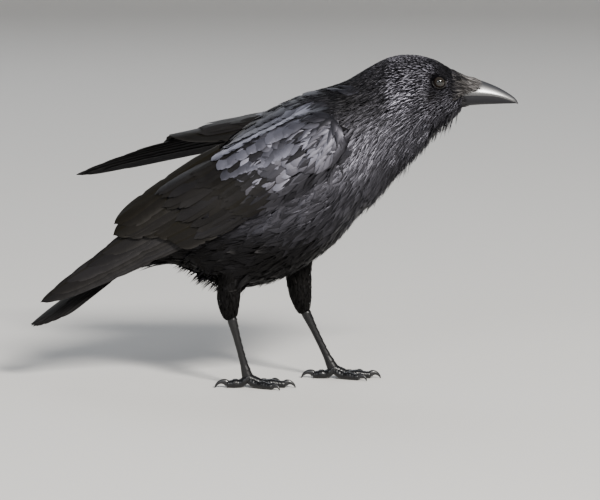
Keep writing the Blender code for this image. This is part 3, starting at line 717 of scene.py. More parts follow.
def marks_at(points, nodes):
    """Gloss, brownness and tone of the plumage at places on the bird."""
    x, _, z = points.T
    back = np.interp(x, BACK_LINE[:, 0], BACK_LINE[:, 1])
    upper = falloff(z, back - 62, back - 18)
    gloss = 0.13 - 0.07 * upper + 0.07 * near(x, z, 72, 205, 28)
    gloss = np.where(np.char.startswith(nodes, "wing") & ~wing_edge(points), 0.24 + 0.22 * upper, gloss)
    gloss = gloss * nape_shade(x, z)
    on_head = HEAD_GLOSS
    for across, over, reach, amount in HEAD_SPOTS:
        on_head = on_head + amount * near(x, z, across, over, reach)
    gloss = np.where(x > HEAD_START, on_head, gloss)
    gloss = np.where(np.char.startswith(nodes, "thigh"), 0.05, gloss)
    # Painted shade: the lower belly, in the wing's shadow, loses most of its gloss; it is also made a little
    # browner.
    belly_in_shade = falloff(-z, -165, -128) * (nodes != "head")
    gloss = gloss * (1 - 0.9 * belly_in_shade)
    brown = np.where(np.char.startswith(nodes, "wing"), 0.10, 0.05) + 0.12 * belly_in_shade
    tone = np.full(len(points), PLAIN_TONE)
    return np.stack([gloss, brown, tone], -1)


# Distance along the spine from the bill's tip, then length, width and spacing of the feathers there.
COAT_SIZES = np.array([
    (50, 3.2, 0.8, 1.0), (75, 5.0, 1.15, 1.3), (95, 8.0, 1.8, 1.8), (121, 12.5, 2.8, 2.4),
    (150, 17.0, 4.0, 3.1), (190, 21.0, 6.2, 4.2), (250, 25.0, 8.2, 5.2), (330, 27.0, 8.6, 5.6),
    (407, 34.0, 11.0, 6.4),
])
KINDS = ["fine", "hackle", "frayed", "broad"]


def sizes_at(points, nodes):
    """Length, width, spacing and kind of the feathers at places on the bird."""
    _, y, z = points.T
    along, around = spine_place(points).T
    length, width, gap = (np.interp(along, COAT_SIZES[:, 0], COAT_SIZES[:, k]) for k in (1, 2, 3))
    upper = 1 - falloff(np.abs(around) / 30, 0.7, 1.3)
    throat = falloff(np.abs(around) / 30, 1.7, 2.5) * falloff(along, 80, 105) * (1 - falloff(along, 150, 185))
    face = (eye_polar(points) < 13) & (np.abs(y) > 6) & (along < 100)
    kind = np.where(along < 84, 0, np.where(along < 168, 1, np.where((upper > 0.5) & (along > 225), 3, 2)))
    wide = upper * falloff(along, 200, 240)
    width = width * (1 + 0.35 * wide) * (1 - 0.25 * throat)
    length = length * (1 + 0.45 * throat) * (1 - 0.12 * wide)
    gap = gap * (1 + 0.10 * wide) * (1 - 0.15 * throat)
    length, width, gap = (
        np.where(face, small, big) for small, big in ((3.4, length), (0.85, width), (1.05, gap))
    )
    kind = np.where(face, 0, kind)
    thigh = np.char.startswith(nodes, "thigh")
    wing = np.char.startswith(nodes, "wing") & ~wing_edge(points)
    shin = falloff(-z, -96, -66)
    length, width, gap = (
        np.where(thigh, low, np.where(wing, over, rest)) for low, over, rest in
        ((11.0 - 3 * shin, 17.0, length), (3.6 - 1.0 * shin, 8.6, width), (2.7 - 0.7 * shin, 5.2, gap))
    )
    kind = np.where(thigh, 2, np.where(wing, 3, kind))
    return length, width, gap, kind


def wing_edge(points):
    """Where the breast and flank feathers cover the front and the lower edge of the folded wing."""
    edge = np.zeros(len(points), bool)
    for side, facing in (("left", 1), ("right", -1)):
        u, v = wing_place(points, side).T
        ragged = 5 * np.sin(v * 0.31) + 4 * np.sin(u * 0.23 + 1)
        on_side = (points[:, 1] * facing > 0) & (v < 34)
        edge |= on_side & ((u < 16 + ragged + 0.25 * (10 - v)) | (v < -15 + ragged * 0.6 - 0.06 * u))
    return edge


TRIES = 3.2  # places tried for each square of one spacing


def scatter(points, faces, node_of, keep, spacing=1.0):
    """Places about one spacing apart on the skin, with their normals and nodes, where keep allows them."""
    a, b, c = (points[faces[:, k]] for k in range(3))
    cross = np.cross(b - a, c - a)
    area = np.linalg.norm(cross, axis=1) / 2
    normals = unit(cross)
    names = np.array(FLESH)[node_of[faces[:, 0]]]
    middle = (a + b + c) / 3
    gap = sizes_at(middle, names)[2] * spacing
    amount = np.where(keep(middle, normals, names), TRIES * area / gap**2, 0)
    tries = rng.choice(len(faces), size=int(amount.sum()), p=amount / amount.sum())
    r, q = np.sqrt(rng.random(len(tries)))[:, None], rng.random(len(tries))[:, None]
    places = a[tries] * (1 - r) + b[tries] * r * (1 - q) + c[tries] * r * q
    cells, chosen = {}, []
    for i, (place, room) in enumerate(zip(places.tolist(), gap[tries].tolist())):
        size = 2.0 ** int(np.ceil(np.log2(room)))
        x, y, z = (int(v // size) for v in place)
        around = [
            other for dx in (-1, 0, 1) for dy in (-1, 0, 1) for dz in (-1, 0, 1)
            for other in cells.get((size, x + dx, y + dy, z + dz), ())
        ]
        if all(sum((u - v) ** 2 for u, v in zip(other, place)) > room * room for other in around):
            cells.setdefault((size, x, y, z), []).append(place)
            chosen.append(i)
    pick = tries[chosen]
    return places[chosen], normals[pick], names[pick]


STYLE = {
    # thickness, sink of the root, lift of the tip, turn in radians, share of length that varies
    "broad": (0.36, 2.2, 0.10, 0.08, 0.12),
    "frayed": (0.36, 2.6, 0.30, 0.20, 0.25),
    "hackle": (0.34, 1.6, 0.15, 0.13, 0.25),
    "fine": (0.22, 0.7, 0.05, 0.14, 0.25),
}


def lay_coat(coat, lie, spots, wisps=False):
    """Lay a feather at each place; wisps are the loose barbs over them."""
    places, normals, names = spots
    lengths, widths, _, kinds = sizes_at(places, names)
    rows = {}
    for place, normal, name, length, width, kind in zip(places, normals, names, lengths, widths, kinds):
        style = "fine" if wisps else KINDS[kind]
        thickness, sink, lift, turn, vary = STYLE[style]
        fluff = max(0.0, 1 - abs(place[1]) / 26) * (normal[2] < -0.1)
        lift += fluff * rng.uniform(0.2, 3.6 if place[0] > 95 else 2.2) * min(length / 12, 1.3)
        if wisps:
            length, width = 0.62 * length, min(0.24 * width, 1.5)
            lift += rng.uniform(0.0, 0.7) * min(length / 12, 1)
            turn = 0.2
        length *= 1 + vary * rng.uniform(-1, 1)
        direction = flow_at(place, name)
        direction = direction - normal * normal.dot(direction)
        direction = unit(direction + unit(np.cross(normal, direction)) * rng.normal(0, turn))
        lift += rng.uniform(0, 0.3) * min(length / 12, 1)
        centre, tilt = lie.path(place, direction, length, min(sink, COAT_DEPTH[name]), lift)
        roll = rng.normal(0, 0.16)
        tilt = [unit(n + roll * unit(np.cross(n, direction))) for n in tilt]
        rows.setdefault(style, []).append((centre, tilt, width, thickness, place, name))
    for style, made in rows.items():
        centres, tilts, widths, thicknesses, roots, owners = (np.array(x) for x in zip(*made))
        marks = marks_at(roots, owners)
        marks[:, 0] *= rng.uniform(0.35, 1.65, len(marks))
        marks[:, 1] += rng.uniform(0, 0.08, len(marks))
        # Painted glints: a few feathers get pale tips.
        tips = np.where(rng.random(len(marks)) < 0.06, rng.uniform(0.1, 0.4, len(marks)), 0.0)
        coat.lay(style, centres, tilts, widths, thicknesses, marks, tips * (style != "fine"))


FRINGES = [
    # count, first and last place (x, z), outward and lie (x, z), lengths, spread across, gloss
    (230, (163, 249), (110, 198), (0.62, -0.78), (-0.40, -0.92), (8.0, 17.0), 8.5, 0.12),
    (70, (112, 200), (80, 160), (0.72, -0.69), (-0.52, -0.85), (9.0, 15.0), 7.0, 0.08),
    (150, (-34, 98), (-80, 112), (-0.2, -0.98), (-0.85, -0.52), (8.0, 15.0), 13.0, 0.02),
    (60, (-12, 96), (36, 99), (0.0, -1.0), (-0.82, -0.57), (6.0, 11.0), 14.0, 0.02),
]


def lay_fringes(coat, lie):
    """Long loose feathers that stand out from the throat, the vent and the belly."""
    for count, first, last, out, lie_of, lengths, spread, gloss in FRINGES:
        out, ahead = unit((out[0], 0, out[1])), unit((lie_of[0], 0, lie_of[1]))
        centres, normals, widths = [], [], []
        for _ in range(count):
            x, z = np.array(first) + (np.array(last) - first) * rng.random()
            side = rng.normal(0, spread)
            outside = Vector(np.array((x, side, z)) + 45 * out)
            hit, normal, _, _ = lie.flesh.ray_cast(outside, Vector(-out), 90.0)
            if hit is None or normal.dot(Vector(out)) < 0.25 or hit[2] < min(first[1], last[1]) - 9:
                continue
            root, normal = np.array(hit), np.array(normal)
            length = rng.uniform(*lengths)
            stray = (rng.normal(0, 0.10), 0.05 * side + rng.normal(0, 0.12), rng.normal(0, 0.10))
            along = unit(ahead + stray)
            raised = unit(along - normal * (0.25 * normal.dot(along)))
            centres.append((root - 1.5 * normal, root + 0.5 * length * raised, root + length * along))
            normals.append([unit(normal - along * normal.dot(along))] * 3)
            widths.append(rng.uniform(1.2, 3.2))
        count = len(centres)
        marks = np.tile((gloss, 0.06, PLAIN_TONE), (count, 1))
        marks[:, 0] *= rng.uniform(0.4, 2.0, count)
        centres, normals, widths = np.array(centres), np.array(normals), np.array(widths)
        coat.lay("hackle", centres, normals, widths, np.full(count, 0.32), marks)


# Painted shade: the lifted far wing's rows are held duller than the near wing's, to keep the lamps'
# highlights there down; the two wings are alike in life.
LEFT_GLOSS = 0.26  # no row on the lifted wing is glossier


def lay_rows(coat, lie, side, rows, style="broad"):
    """Ordered rows of wing coverts and scapulars, placed by where their tips lie on the wing."""
    wing = WINGS[side]
    inward = wing_frame(wing)[2]
    shingle = 0.11 if style == "broad" else 0.0
    for count, first, last, length, width, turn, lift, gloss, brown in rows:
        gloss = min(gloss, LEFT_GLOSS) if side == "left" else gloss
        made, marks = [], []
        for k in range(count):
            u, v = (a + (b - a) * k / (count - 1) for a, b in zip(first, last))
            size = length * rng.uniform(0.93, 1.07)
            spread, loose = (2.5, 1.0 + length / 18) if style == "broad" else (9.0, 2.7)
            u, v = u + rng.normal(0, loose), v + rng.normal(0, 0.1 * spread)
            angle = radians(turn + rng.normal(0, spread))
            root_u, root_v = u + wing["slide"] * 0.5 - size * cos(angle), v + size * sin(angle)
            place = wing_points(wing, root_u, root_v, 5.0)
            if style == "broad" and place[0] > 60:
                continue
            ahead = wing_points(wing, root_u + 6 * cos(angle), root_v - 6 * sin(angle), 5.0) - place
            centre, tilt = lie.path(place, unit(ahead), size, 1.6, lift + 0.1 * (k % 2), True)
            made.append((centre, [unit(n + shingle * inward) for n in tilt]))
            shade = nape_shade(place[0], place[2])
            marks.append((gloss * shade * rng.uniform(0.6, 1.3), brown * rng.uniform(0.65, 1.25), 0.0))
        centres, normals = (np.array(x) for x in zip(*made))
        count = len(made)
        widths = width * rng.uniform(0.93, 1.06, count)
        # Every row feather gets a faint pale tip, a painted glint.
        coat.lay(style, centres, normals, widths, np.full(count, 0.45), np.array(marks), np.full(count, 0.05))


# count, first and last tip (u, v), length, width, degrees of turn across the wing, lift, gloss, brown
COVERT_ROWS = [
    (15, (152, 34), (134, -22), 56, 10.5, 2, 0.15, 0.03, 0.62),  # greater coverts
    (8, (134, -17), (124, -28), 46, 7.5, -1, 0.20, 0.03, 0.45),  # primary coverts
    (17, (116, 32), (98, -26), 40, 9.5, 4, 0.35, 0.02, 0.55),  # median coverts
    (15, (90, 32), (76, -14), 30, 9.0, 6, 0.45, 0.03, 0.44),  # lesser coverts, two rows
    (13, (68, 32), (58, -8), 22, 9.0, 6, 0.50, 0.09, 0.24),
]
SCAPULAR_ROWS = [
    (10, (36, 4), (94, 11), 27, 11.0, 26, 0.9, 0.50, 0.03),
    (13, (18, 17), (94, 20), 29, 11.5, 28, 1.4, 1.00, 0.0),
    (13, (12, 29), (90, 31), 29, 11.5, 24, 1.6, 0.70, 0.0),
    (11, (24, 39), (84, 42), 27, 12.0, 16, 1.5, 0.34, 0.0),
    (9, (28, 48), (76, 51), 25, 11.0, 12, 1.3, 0.16, 0.03),
]
SHOULDER_ROWS = [
    # breast feathers that lie back over the front of the wing
    (18, (26, 34), (17, -25), 26, 6.5, 14, 0.7, 0.50, 0.03),
    (18, (15, 35), (6, -26), 28, 6.5, 14, 1.2, 0.40, 0.03),
    (18, (4, 35), (-5, -27), 28, 6.5, 14, 1.6, 0.24, 0.03),
]


# Flight feathers, innermost first: root, bow and tip as (u, v), and half the width.

SECONDARIES = [
    ((84, 42.0), (142, 39.0), (196, 26.5), 10.5),
    ((86, 32.0), (142, 31.0), (191, 22.0), 11.5),
    ((92, 23.0), (144, 21.5), (201, 18.0), 11.0),
    ((100, 14.5), (145, 13.5), (192, 12.5), 10.5),
    ((99, 5.8), (138, 6.0), (180, 7.0), 10.0),
    ((98, -3.0), (134, -2.5), (169, 0.0), 10.0),
    ((96, -12.0), (129, -11.2), (161, -8.5), 9.5),
    ((94, -20.3), (126, -19.6), (157, -16.0), 9.0),
]
LEFT_TERTIALS = [
    ((84, 42.0), (146, 42.0), (200, 16.5), 11.0),
    ((86, 33.0), (148, 32.5), (207, 9.5), 11.5),
    ((92, 24.0), (150, 20.0), (213, 4.0), 11.0),
    ((100, 14.5), (145, 12.5), (207, 2.0), 10.5),
]
PRIMARIES = [
    ((100, 6), (160, 7.5), (219, 9.5), 9.0),
    ((98, 2), (165, 5.0), (236, 6.5), 9.0),
    ((96, -2), (175, 2.0), (259, 4.0), 9.0),
    ((94, -6), (185, -1.0), (277, 1.8), 8.8),
    ((92, -10), (188, -4.5), (288, 0.0), 8.6),
    ((90, -15), (184, -9.0), (281, -2.5), 7.6),
    ((88, -20), (178, -13.5), (262, -5.0), 6.2),
]
TAIL_ROOT = np.array((-84.0, 0.0, 153.5))
TAIL_TIP = np.array((-216.8, 0.0, 52.5))
TAIL_ROLL = radians(12.0)
TAIL_PAIRS = 6
TAIL_CAMBER = 0.006
FEATHER_STEP = 0.5  # how far each feather lies under the one before


def tail_points(u, v, w):
    """Places on the tail: u along it, v to the left across it and w up from its surface."""
    u, v, w = np.broadcast_arrays(*(np.asarray(x, float) for x in (u, v, w)))
    along = unit(TAIL_TIP - TAIL_ROOT)
    level = unit(np.cross((0, 1, 0), along))
    level = level if level[2] > 0 else -level
    left = np.array((0, 1, 0)) * cos(TAIL_ROLL) + level * sin(TAIL_ROLL)
    over = level * cos(TAIL_ROLL) - np.array((0, 1, 0)) * sin(TAIL_ROLL)
    flat = TAIL_ROOT + along * u[..., None] + left * v[..., None]
    return flat + over * (w - TAIL_CAMBER * v * v)[..., None]


VANE_ROWS, VANE_COLUMNS = 30, 11
VANE_THICKNESS = 0.30  # from the middle of the vane to either face, along its shaft
VANE_CROWN, VANE_RIPPLE = 0.55, 0.05
SHAFT_HEIGHT = 0.28
VANE_BARBS = 3.0  # times as many waves of barbs as on a small feather


def flight_feather(place, root, bow, tip, half_width, level, lean, sharp, facing):
    """A flight feather: a vane with its shaft off its middle, thin edges and a few parted barbs.

    lean is how far off the shaft lies, as a share of the half width, and facing (1 or -1) says away from
    which side. sharp is where along the feather its end starts to round off.
    """
    rows, columns = VANE_ROWS, VANE_COLUMNS
    t = np.linspace(0, 1, rows)
    t = 1 - (1 - t) ** 1.25
    middle = ((1 - t) ** 2)[:, None] * root + (2 * t * (1 - t))[:, None] * bow + (t**2)[:, None] * tip
    heading = unit((2 * (1 - t))[:, None] * (bow - root) + (2 * t)[:, None] * (tip - bow))
    side = np.stack([-heading[:, 1], heading[:, 0]], -1)
    end = np.sqrt(np.clip(1 - np.clip((t - sharp) / (1 - sharp), 0, 1) ** 2, 0, 1))
    width = half_width * np.minimum(1, 0.7 + 1.4 * t) * np.maximum(end, 0.05)
    s = np.linspace(-1, 1, columns)
    wide = np.repeat(width[:, None], columns, 1) * s
    wide -= facing * lean * width[:, None] * (1 - s**2)
    slip = -2.0 * (np.abs(s) ** 1.5)[None, :] * np.ones((rows, 1))
    for _ in range(rng.integers(2, 5)):
        row, edge = rng.integers(rows // 3, rows - 3), rng.choice((0, columns - 1))
        wide[row, edge] *= rng.uniform(0.80, 0.93)
        slip[row, edge] += 1.2
    u = middle[:, 0:1] + side[:, 0:1] * wide + heading[:, 0:1] * slip
    v = middle[:, 1:2] + side[:, 1:2] * wide + heading[:, 1:2] * slip
    across = s[None, :] * np.ones((rows, 1))
    thick = VANE_THICKNESS * (1 - 0.75 * across**2)
    ridge = SHAFT_HEIGHT * np.exp(-((across / 0.09) ** 2)) * (1 - 0.6 * t[:, None])
    crown = VANE_CROWN * (1 - across**2)
    ripple = VANE_RIPPLE * np.sin(across * 9 + t[:, None] * 6)
    top = place(u, v, level + crown + thick + ridge + ripple)
    bottom = place(u, v, level + crown - thick + ripple)
    points = np.vstack([top.reshape(-1, 3), bottom.reshape(-1, 3)])
    half = rows * columns
    i, j = np.meshgrid(np.arange(rows - 1), np.arange(columns - 1), indexing="ij")
    corner = i * columns + j
    upper = grid_tris(corner, corner + 1, corner + columns, corner + columns + 1)
    rim = list(range(columns)) + [k * columns + columns - 1 for k in range(1, rows)]
    rim += [half - 1 - k for k in range(1, columns)] + [k * columns for k in range(rows - 2, 0, -1)]
    rim = np.array(rim)
    following = np.roll(rim, -1)
    walls = grid_tris(rim, rim + half, following, following + half)
    tris = outward(points - points.mean(0), np.concatenate([upper, upper[:, ::-1] + half, walls]))
    length = t[:, None] * VANE_BARBS * np.ones((1, columns))
    barb = np.tile(np.stack([length, across / 2 + 0.5], -1).reshape(-1, 2), (2, 1))
    edge = np.tile((np.abs(across) ** 6).ravel(), 2)
    rachis = np.tile(np.exp(-((across / 0.07) ** 2)).ravel(), 2)
    return points, tris, barb, edge, rachis


def flight_group(name, feathers, mat, gloss, brown):
    """One mesh of several flight feathers; feathers holds the arguments of flight_feather for each."""
    points, tris, marks, barbs, start = [], [], [], [], 0
    for feather in feathers:
        verts, faces, barb, edge, rachis = flight_feather(*feather)
        # Brownness, more at the edges: partly wear, partly a painted warm reflection on the flight feathers.
        worn_and_painted_light = brown * rng.uniform(0.75, 1.2) * (1 + 0.5 * edge)
        shine = gloss * rng.uniform(0.7, 1.3) * (1 - 0.6 * rachis)
        points.append(verts)
        tris.append(faces + start)
        marks.append(np.stack([shine, np.clip(worn_and_painted_light + 0.25 * rachis, 0, 1), 0.008 + 0.11 * edge], -1))
        barbs.append(barb)
        start += len(verts)
    return add_mesh(
        name, np.vstack(points), np.vstack(tris), mat, "flight_feathers",
        marks=np.vstack(marks), barb=np.vstack(barbs),
    )


def wing_feathers(wing, slide, table, level, lean, sharp):
    """The feathers of one table, slid along the wing, each lying a little under the one before."""
    def place(u, v, w):
        return wing_points(wing, u + slide, v, w)

    return [
        (place, *np.array(line, float), half_width, level - FEATHER_STEP * k, lean, sharp, -1)
        for k, (*line, half_width) in enumerate(table)
    ]


def build_wing_flights(mat):
    """The inner and the outer flight feathers of both wings."""
    for side, wing in WINGS.items():
        table = SECONDARIES if side == "right" else LEFT_TERTIALS + SECONDARIES[len(LEFT_TERTIALS):]
        sharp = 0.78 if side == "right" else 0.55
        secondaries = wing_feathers(wing, wing["slide"], table, 1.4, 0.18, sharp)
        primaries = wing_feathers(wing, 0.0, PRIMARIES, -3.8, 0.34, 0.72)
        inner = flight_group("secondaries_" + side, secondaries, mat, 0.015, 0.62)
        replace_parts(inner, "wing_" + side + "_secondaries")
        outer = flight_group("primaries_" + side, primaries, mat, 0.03, 0.40)
        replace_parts(outer, "wing_" + side + "_primaries")


def build_tail(mat):
    """Six pairs of tail feathers, the middle pair on top."""
    full = np.linalg.norm(TAIL_TIP - TAIL_ROOT)
    feathers = []
    for pair in range(TAIL_PAIRS):
        for facing in (1, -1):
            step = pair + 0.5
            length = full - pair**2
            root = np.array((36.0 + 1.7 * pair, facing * 1.6 * step))
            bow = np.array((length * 0.65, facing * 1.95 * step))
            tip = np.array((length, facing * 2.3 * step))
            level = -FEATHER_STEP * (2 * pair + (facing < 0))
            feathers.append((tail_points, root, bow, tip, 8.5, level, 0.1 + 0.05 * pair, 0.8, facing))
    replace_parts(flight_group("tail_feathers", feathers, mat, 0.03, 0.40), "tail")


# The bill.

BILL = [
    # x, culmen, cutting edge and lower edge heights, half width
    (157, 276.4, 257.0, 247.5, 10.6), (165, 276.1, 258.9, 248.4, 9.8), (175, 274.2, 259.3, 249.6, 8.5),
    (186, 271.3, 259.1, 250.4, 6.9), (196, 267.4, 258.3, 250.8, 5.2), (204, 263.4, 256.6, 251.1, 3.8),
    (211, 259.0, 254.2, 251.3, 2.4), (215.3, 255.4, 252.6, 251.4, 1.3), (217.4, 251.9, 250.7, 251.2, 0.5),
]
LOWER_BILL_END = 7.35  # counted in sections
BILL_FLANK = 0.60  # share of the bill's section that is straight-sided
RING_POINTS = 33


def bill_place(x):
    """The place, counted in bill sections, of a distance along the bill."""
    return float(np.interp(x, [row[0] for row in BILL], range(len(BILL))))


def bill_arch(place, angles):
    """Points over the upper bill: angle 0 is the left cutting edge, pi / 2 the culmen, pi the right edge."""
    x, culmen, edge, _, width = blend_rows(BILL, place)
    angles = np.asarray(angles, float)
    share = 1 - np.abs(1 - angles * 2 / pi)
    round_side, flat_side = np.cos(angles), np.sign(np.cos(angles)) * (1 - share)
    y = width * ((1 - BILL_FLANK) * round_side + BILL_FLANK * flat_side)
    y = y * (1 - 0.08 * np.clip(1 - share / 0.22, 0, 1) ** 1.5)
    z = edge + (culmen - edge) * ((1 - BILL_FLANK) * np.sin(angles) ** 0.9 + BILL_FLANK * share)
    return np.stack([np.full(len(angles), x), y, z], -1)


def build_bill(horn, shaded_horn):
    """Both halves of the bill, each a tube of rings that is closed along the cutting edges."""
    upper, lower = [], []
    arch = np.linspace(0, pi, RING_POINTS)
    back = np.linspace(-1, 1, 9)[1:-1]
    for place in np.linspace(0, len(BILL) - 1, 64):
        x, _, edge, _, width = blend_rows(BILL, place)
        roof = np.stack([np.full(len(back), x), back * width * 0.9, edge + 0.5 * (1 - back**2)], -1)
        over = bill_arch(place, arch)
        over[[0, -1], 2] -= 0.35
        upper.append(np.vstack([over, roof]))
    for place in np.linspace(0, LOWER_BILL_END, 56):
        x, _, edge, under, width = blend_rows(BILL, place)
        high, low = edge - 0.15, min(under, edge - 0.9)
        depth = (high - low) * np.sin(arch) ** 0.85
        ring = np.stack([np.full(RING_POINTS, x), 0.86 * width * np.cos(arch), high - depth], -1)
        lid = np.stack([np.full(len(back), x), back * -0.8 * width, high + 0.25 * (1 - back**2)], -1)
        lower.append(np.vstack([ring, lid]))
    # The lower half takes the darker copy of the horn, a painted shade.
    for half, rings, mat in (("upper_bill", upper, horn), ("lower_bill", lower, shaded_horn)):
        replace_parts(add_mesh(half + "_horn", *rings_mesh(rings), mat, "horn"), half)


NOSTRIL_BRISTLES, CHIN_BRISTLES = 900, 150
NOSTRIL_AXIS, CHIN_AXIS = (0, 0, 262.0), (0, 0, 258.0)


def away(points, axis):
    """The directions from a line along the bill, at a height, to points round it."""
    return unit(np.array(points) * (0, 1, 1) - axis)


def lay_bristles(coat, lie):
    """Bristles over the nostrils, lying forward along the bill, and finer ones under the chin."""
    def outside(point, out, lift):
        hit = lie.flesh.ray_cast(Vector(point + 9.0 * out), Vector(-out), 9.0)[0]
        return (point if hit is None else np.array(hit)) + out * lift

    centres, normals, widths, browns = [], [], [], []
    for _ in range(NOSTRIL_BRISTLES):
        angle = pi / 2 + rng.uniform(-1.5, 1.5)
        limit = 161.0 + 25.0 * min(sin(angle) / 0.55, 1)
        x = min(154.0 + 19.0 * rng.random() ** 0.6, limit - 6)
        length = min(rng.uniform(9.0, 17.0), limit + rng.uniform(-3.5, 1.0) - x)
        drift = np.sign(angle - pi / 2) * rng.uniform(0.0, 0.28)
        track = []
        for step, lift in ((0, -0.5), (0.5, rng.uniform(0.4, 1.3)), (1, rng.uniform(0.2, 0.8))):
            turned = np.clip(angle + drift * step, 0, pi)
            on_bill = bill_arch(bill_place(x + length * step), [turned])[0]
            track.append(outside(on_bill, away(on_bill, NOSTRIL_AXIS), lift))
        centres.append(track)
        normals.append(away(track, NOSTRIL_AXIS))
        widths.append(rng.uniform(0.5, 0.9))
        browns.append(np.clip((x - 154) / 9, 0, 1) * rng.uniform(0.4, 1.0))
    for _ in range(CHIN_BRISTLES):
        side = rng.choice((-1, 1))
        x, angle = rng.uniform(155, 164), rng.uniform(0.1, 1.5)
        length = rng.uniform(7, 12)
        track = []
        for step, lift in ((0, -0.5), (0.5, 0.5), (1, 0.6)):
            _, _, edge, under, width = blend_rows(BILL, bill_place(x + length * step))
            y = side * (0.9 * width + lift) * cos(angle)
            track.append((x + length * step, y, edge - (edge - under + lift) * sin(angle)))
        centres.append(track)
        normals.append(away(track, CHIN_AXIS))
        widths.append(rng.uniform(0.5, 0.85))
        browns.append(rng.uniform(0.1, 0.4))
    count = len(centres)
    marks = np.stack([np.full(count, 0.03), browns, 1.2 * np.array(browns) * rng.random(count)], -1)
    coat.lay("fine", np.array(centres), np.array(normals), np.array(widths), np.full(count, 0.28), marks)


# The eyes.

CORNEA_RADIUS = 3.4
CORNEA_HEIGHT = 0.35


def eye_group():
    """Colour by the distance from the eye's axis: pupil, dark brown iris, and a dark rim."""
    group, entry, leave = new_group(
        "eye", [("Axis", "NodeSocketVector", (0, 0, 0))], [("Color", "NodeSocketColor")],
    )
    coordinates = node(group, "ShaderNodeTexCoord")
    apart = node(
        group, "ShaderNodeVectorMath", {0: coordinates.outputs["Object"], 1: entry.outputs["Axis"]},
        operation="SUBTRACT",
    )
    flat = node(group, "ShaderNodeVectorMath", {0: apart.outputs[0], 1: (1, 0, 1)}, operation="MULTIPLY")
    reach = node(group, "ShaderNodeVectorMath", {0: flat.outputs[0]}, operation="LENGTH")
    share = node(
        group, "ShaderNodeMath", {0: reach.outputs["Value"], 1: 1 / (EYE_RADIUS * MM)}, operation="MULTIPLY",
    )
    ramp = node(group, "ShaderNodeValToRGB", {0: share.outputs[0]})
    colours = ramp.color_ramp.elements
    colours[0].position, colours[0].color = 0.36, (0.002, 0.002, 0.002, 1)
    colours[1].position, colours[1].color = 0.42, (0.008, 0.006, 0.0045, 1)
    for position, colour in ((0.62, (0.012, 0.009, 0.006, 1)), (0.76, (0.005, 0.004, 0.004, 1))):
        colours.new(position).color = colour
    group.links.new(ramp.outputs[0], leave.inputs["Color"])
    return group


def build_eyes():
    """Two eyeballs, each with a slightly bulging front."""
    group = eye_group()
    for side, facing in (("left", 1), ("right", -1)):
        made, tree, shader = material(
            "eye_" + side, (0.01, 0.006, 0.004), 0.12, Specular_IOR_Level=0.25, Coat_Weight=0.8,
        )
        centre = EYE_CENTRE * (1, facing, 1)
        looks = node(tree, "ShaderNodeGroup", node_tree=group)
        looks.inputs["Axis"].default_value = (centre + SHIFT) * MM
        tree.links.new(looks.outputs["Color"], shader.inputs["Base Color"])
        bm = bmesh.new()
        bmesh.ops.create_uvsphere(bm, u_segments=48, v_segments=32, radius=EYE_RADIUS)
        bmesh.ops.triangulate(bm, faces=bm.faces)
        points = np.array([v.co for v in bm.verts])[:, [0, 2, 1]]
        tris = np.array([[v.index for v in f.verts] for f in bm.faces])
        bm.free()
        bulge = np.exp(-((np.hypot(points[:, 0], points[:, 2]) / CORNEA_RADIUS) ** 4)) * CORNEA_HEIGHT
        points[:, 1] += facing * bulge * (points[:, 1] * facing > 0)
        eyeball = add_mesh("eyeball_" + side, points + centre, outward(points, tris), made, "eye")
        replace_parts(eyeball, "eye_" + side)


# The legs and feet.

FOOT_SPREAD = 25.0  # of each foot from the midline
LEGS = {
    # places (x, z) of the joint above the shank and of the foot's middle
    "right": {"ankle": (-37.6, 60.6), "foot": (-22.5, 9.5)},
    "left": {"ankle": (27.6, 59.4), "foot": (54.5, 9.5)},
}
TARSUS_RADIUS = 3.5
TARSUS_PLATES = 9.0
TARSUS = [
    # share of the length from the top, share of TARSUS_RADIUS
    (0.0, 1.15), (0.06, 1.3), (0.14, 1.2), (0.3, 1.0), (0.55, 0.94), (0.75, 1.05), (0.9, 1.4), (1.0, 1.5),
]
TOES = {
    # degrees outward from straight ahead, reach, radius, plates along its top, length of the claw
    "middle": (2.0, 34.0, 4.5, 13, 12.0), "inner": (-27.0, 25.5, 4.1, 10, 11.0),
    "outer": (30.0, 26.0, 4.0, 10, 10.0), "hallux": (176.0, 19.5, 4.6, 7, 14.5),
}
TOE_PROFILE = [
    # share of the length from the root, height of the middle and half width, both as shares of the radius
    (0.0, 1.9, 1.05), (0.22, 1.2, 1.05), (0.4, 0.8, 0.86),
    (0.6, 0.82, 0.96), (0.8, 0.7, 0.78), (1.0, 0.64, 0.72),
]
RINGS_PER_PLATE = 9
CLAW_RISE, CLAW_TURN = 50, 128  # degrees: how steeply a claw starts and how far it turns


def saw(value, edge=0.12):
    """Overlapping plates: rises slowly along each plate and drops quickly at its end."""
    part = value % 1.0
    return np.minimum(part / (1 - edge), (1 - part) / edge)


def profile(table, t, column=1):
    """A column of a table, read as a smooth curve at shares t of the length."""
    rows = np.array(table, float)
    slow = np.interp(t, rows[:, 0], np.arange(len(rows)))
    return np.array([blend_rows(rows, place)[column] for place in np.atleast_1d(slow)])


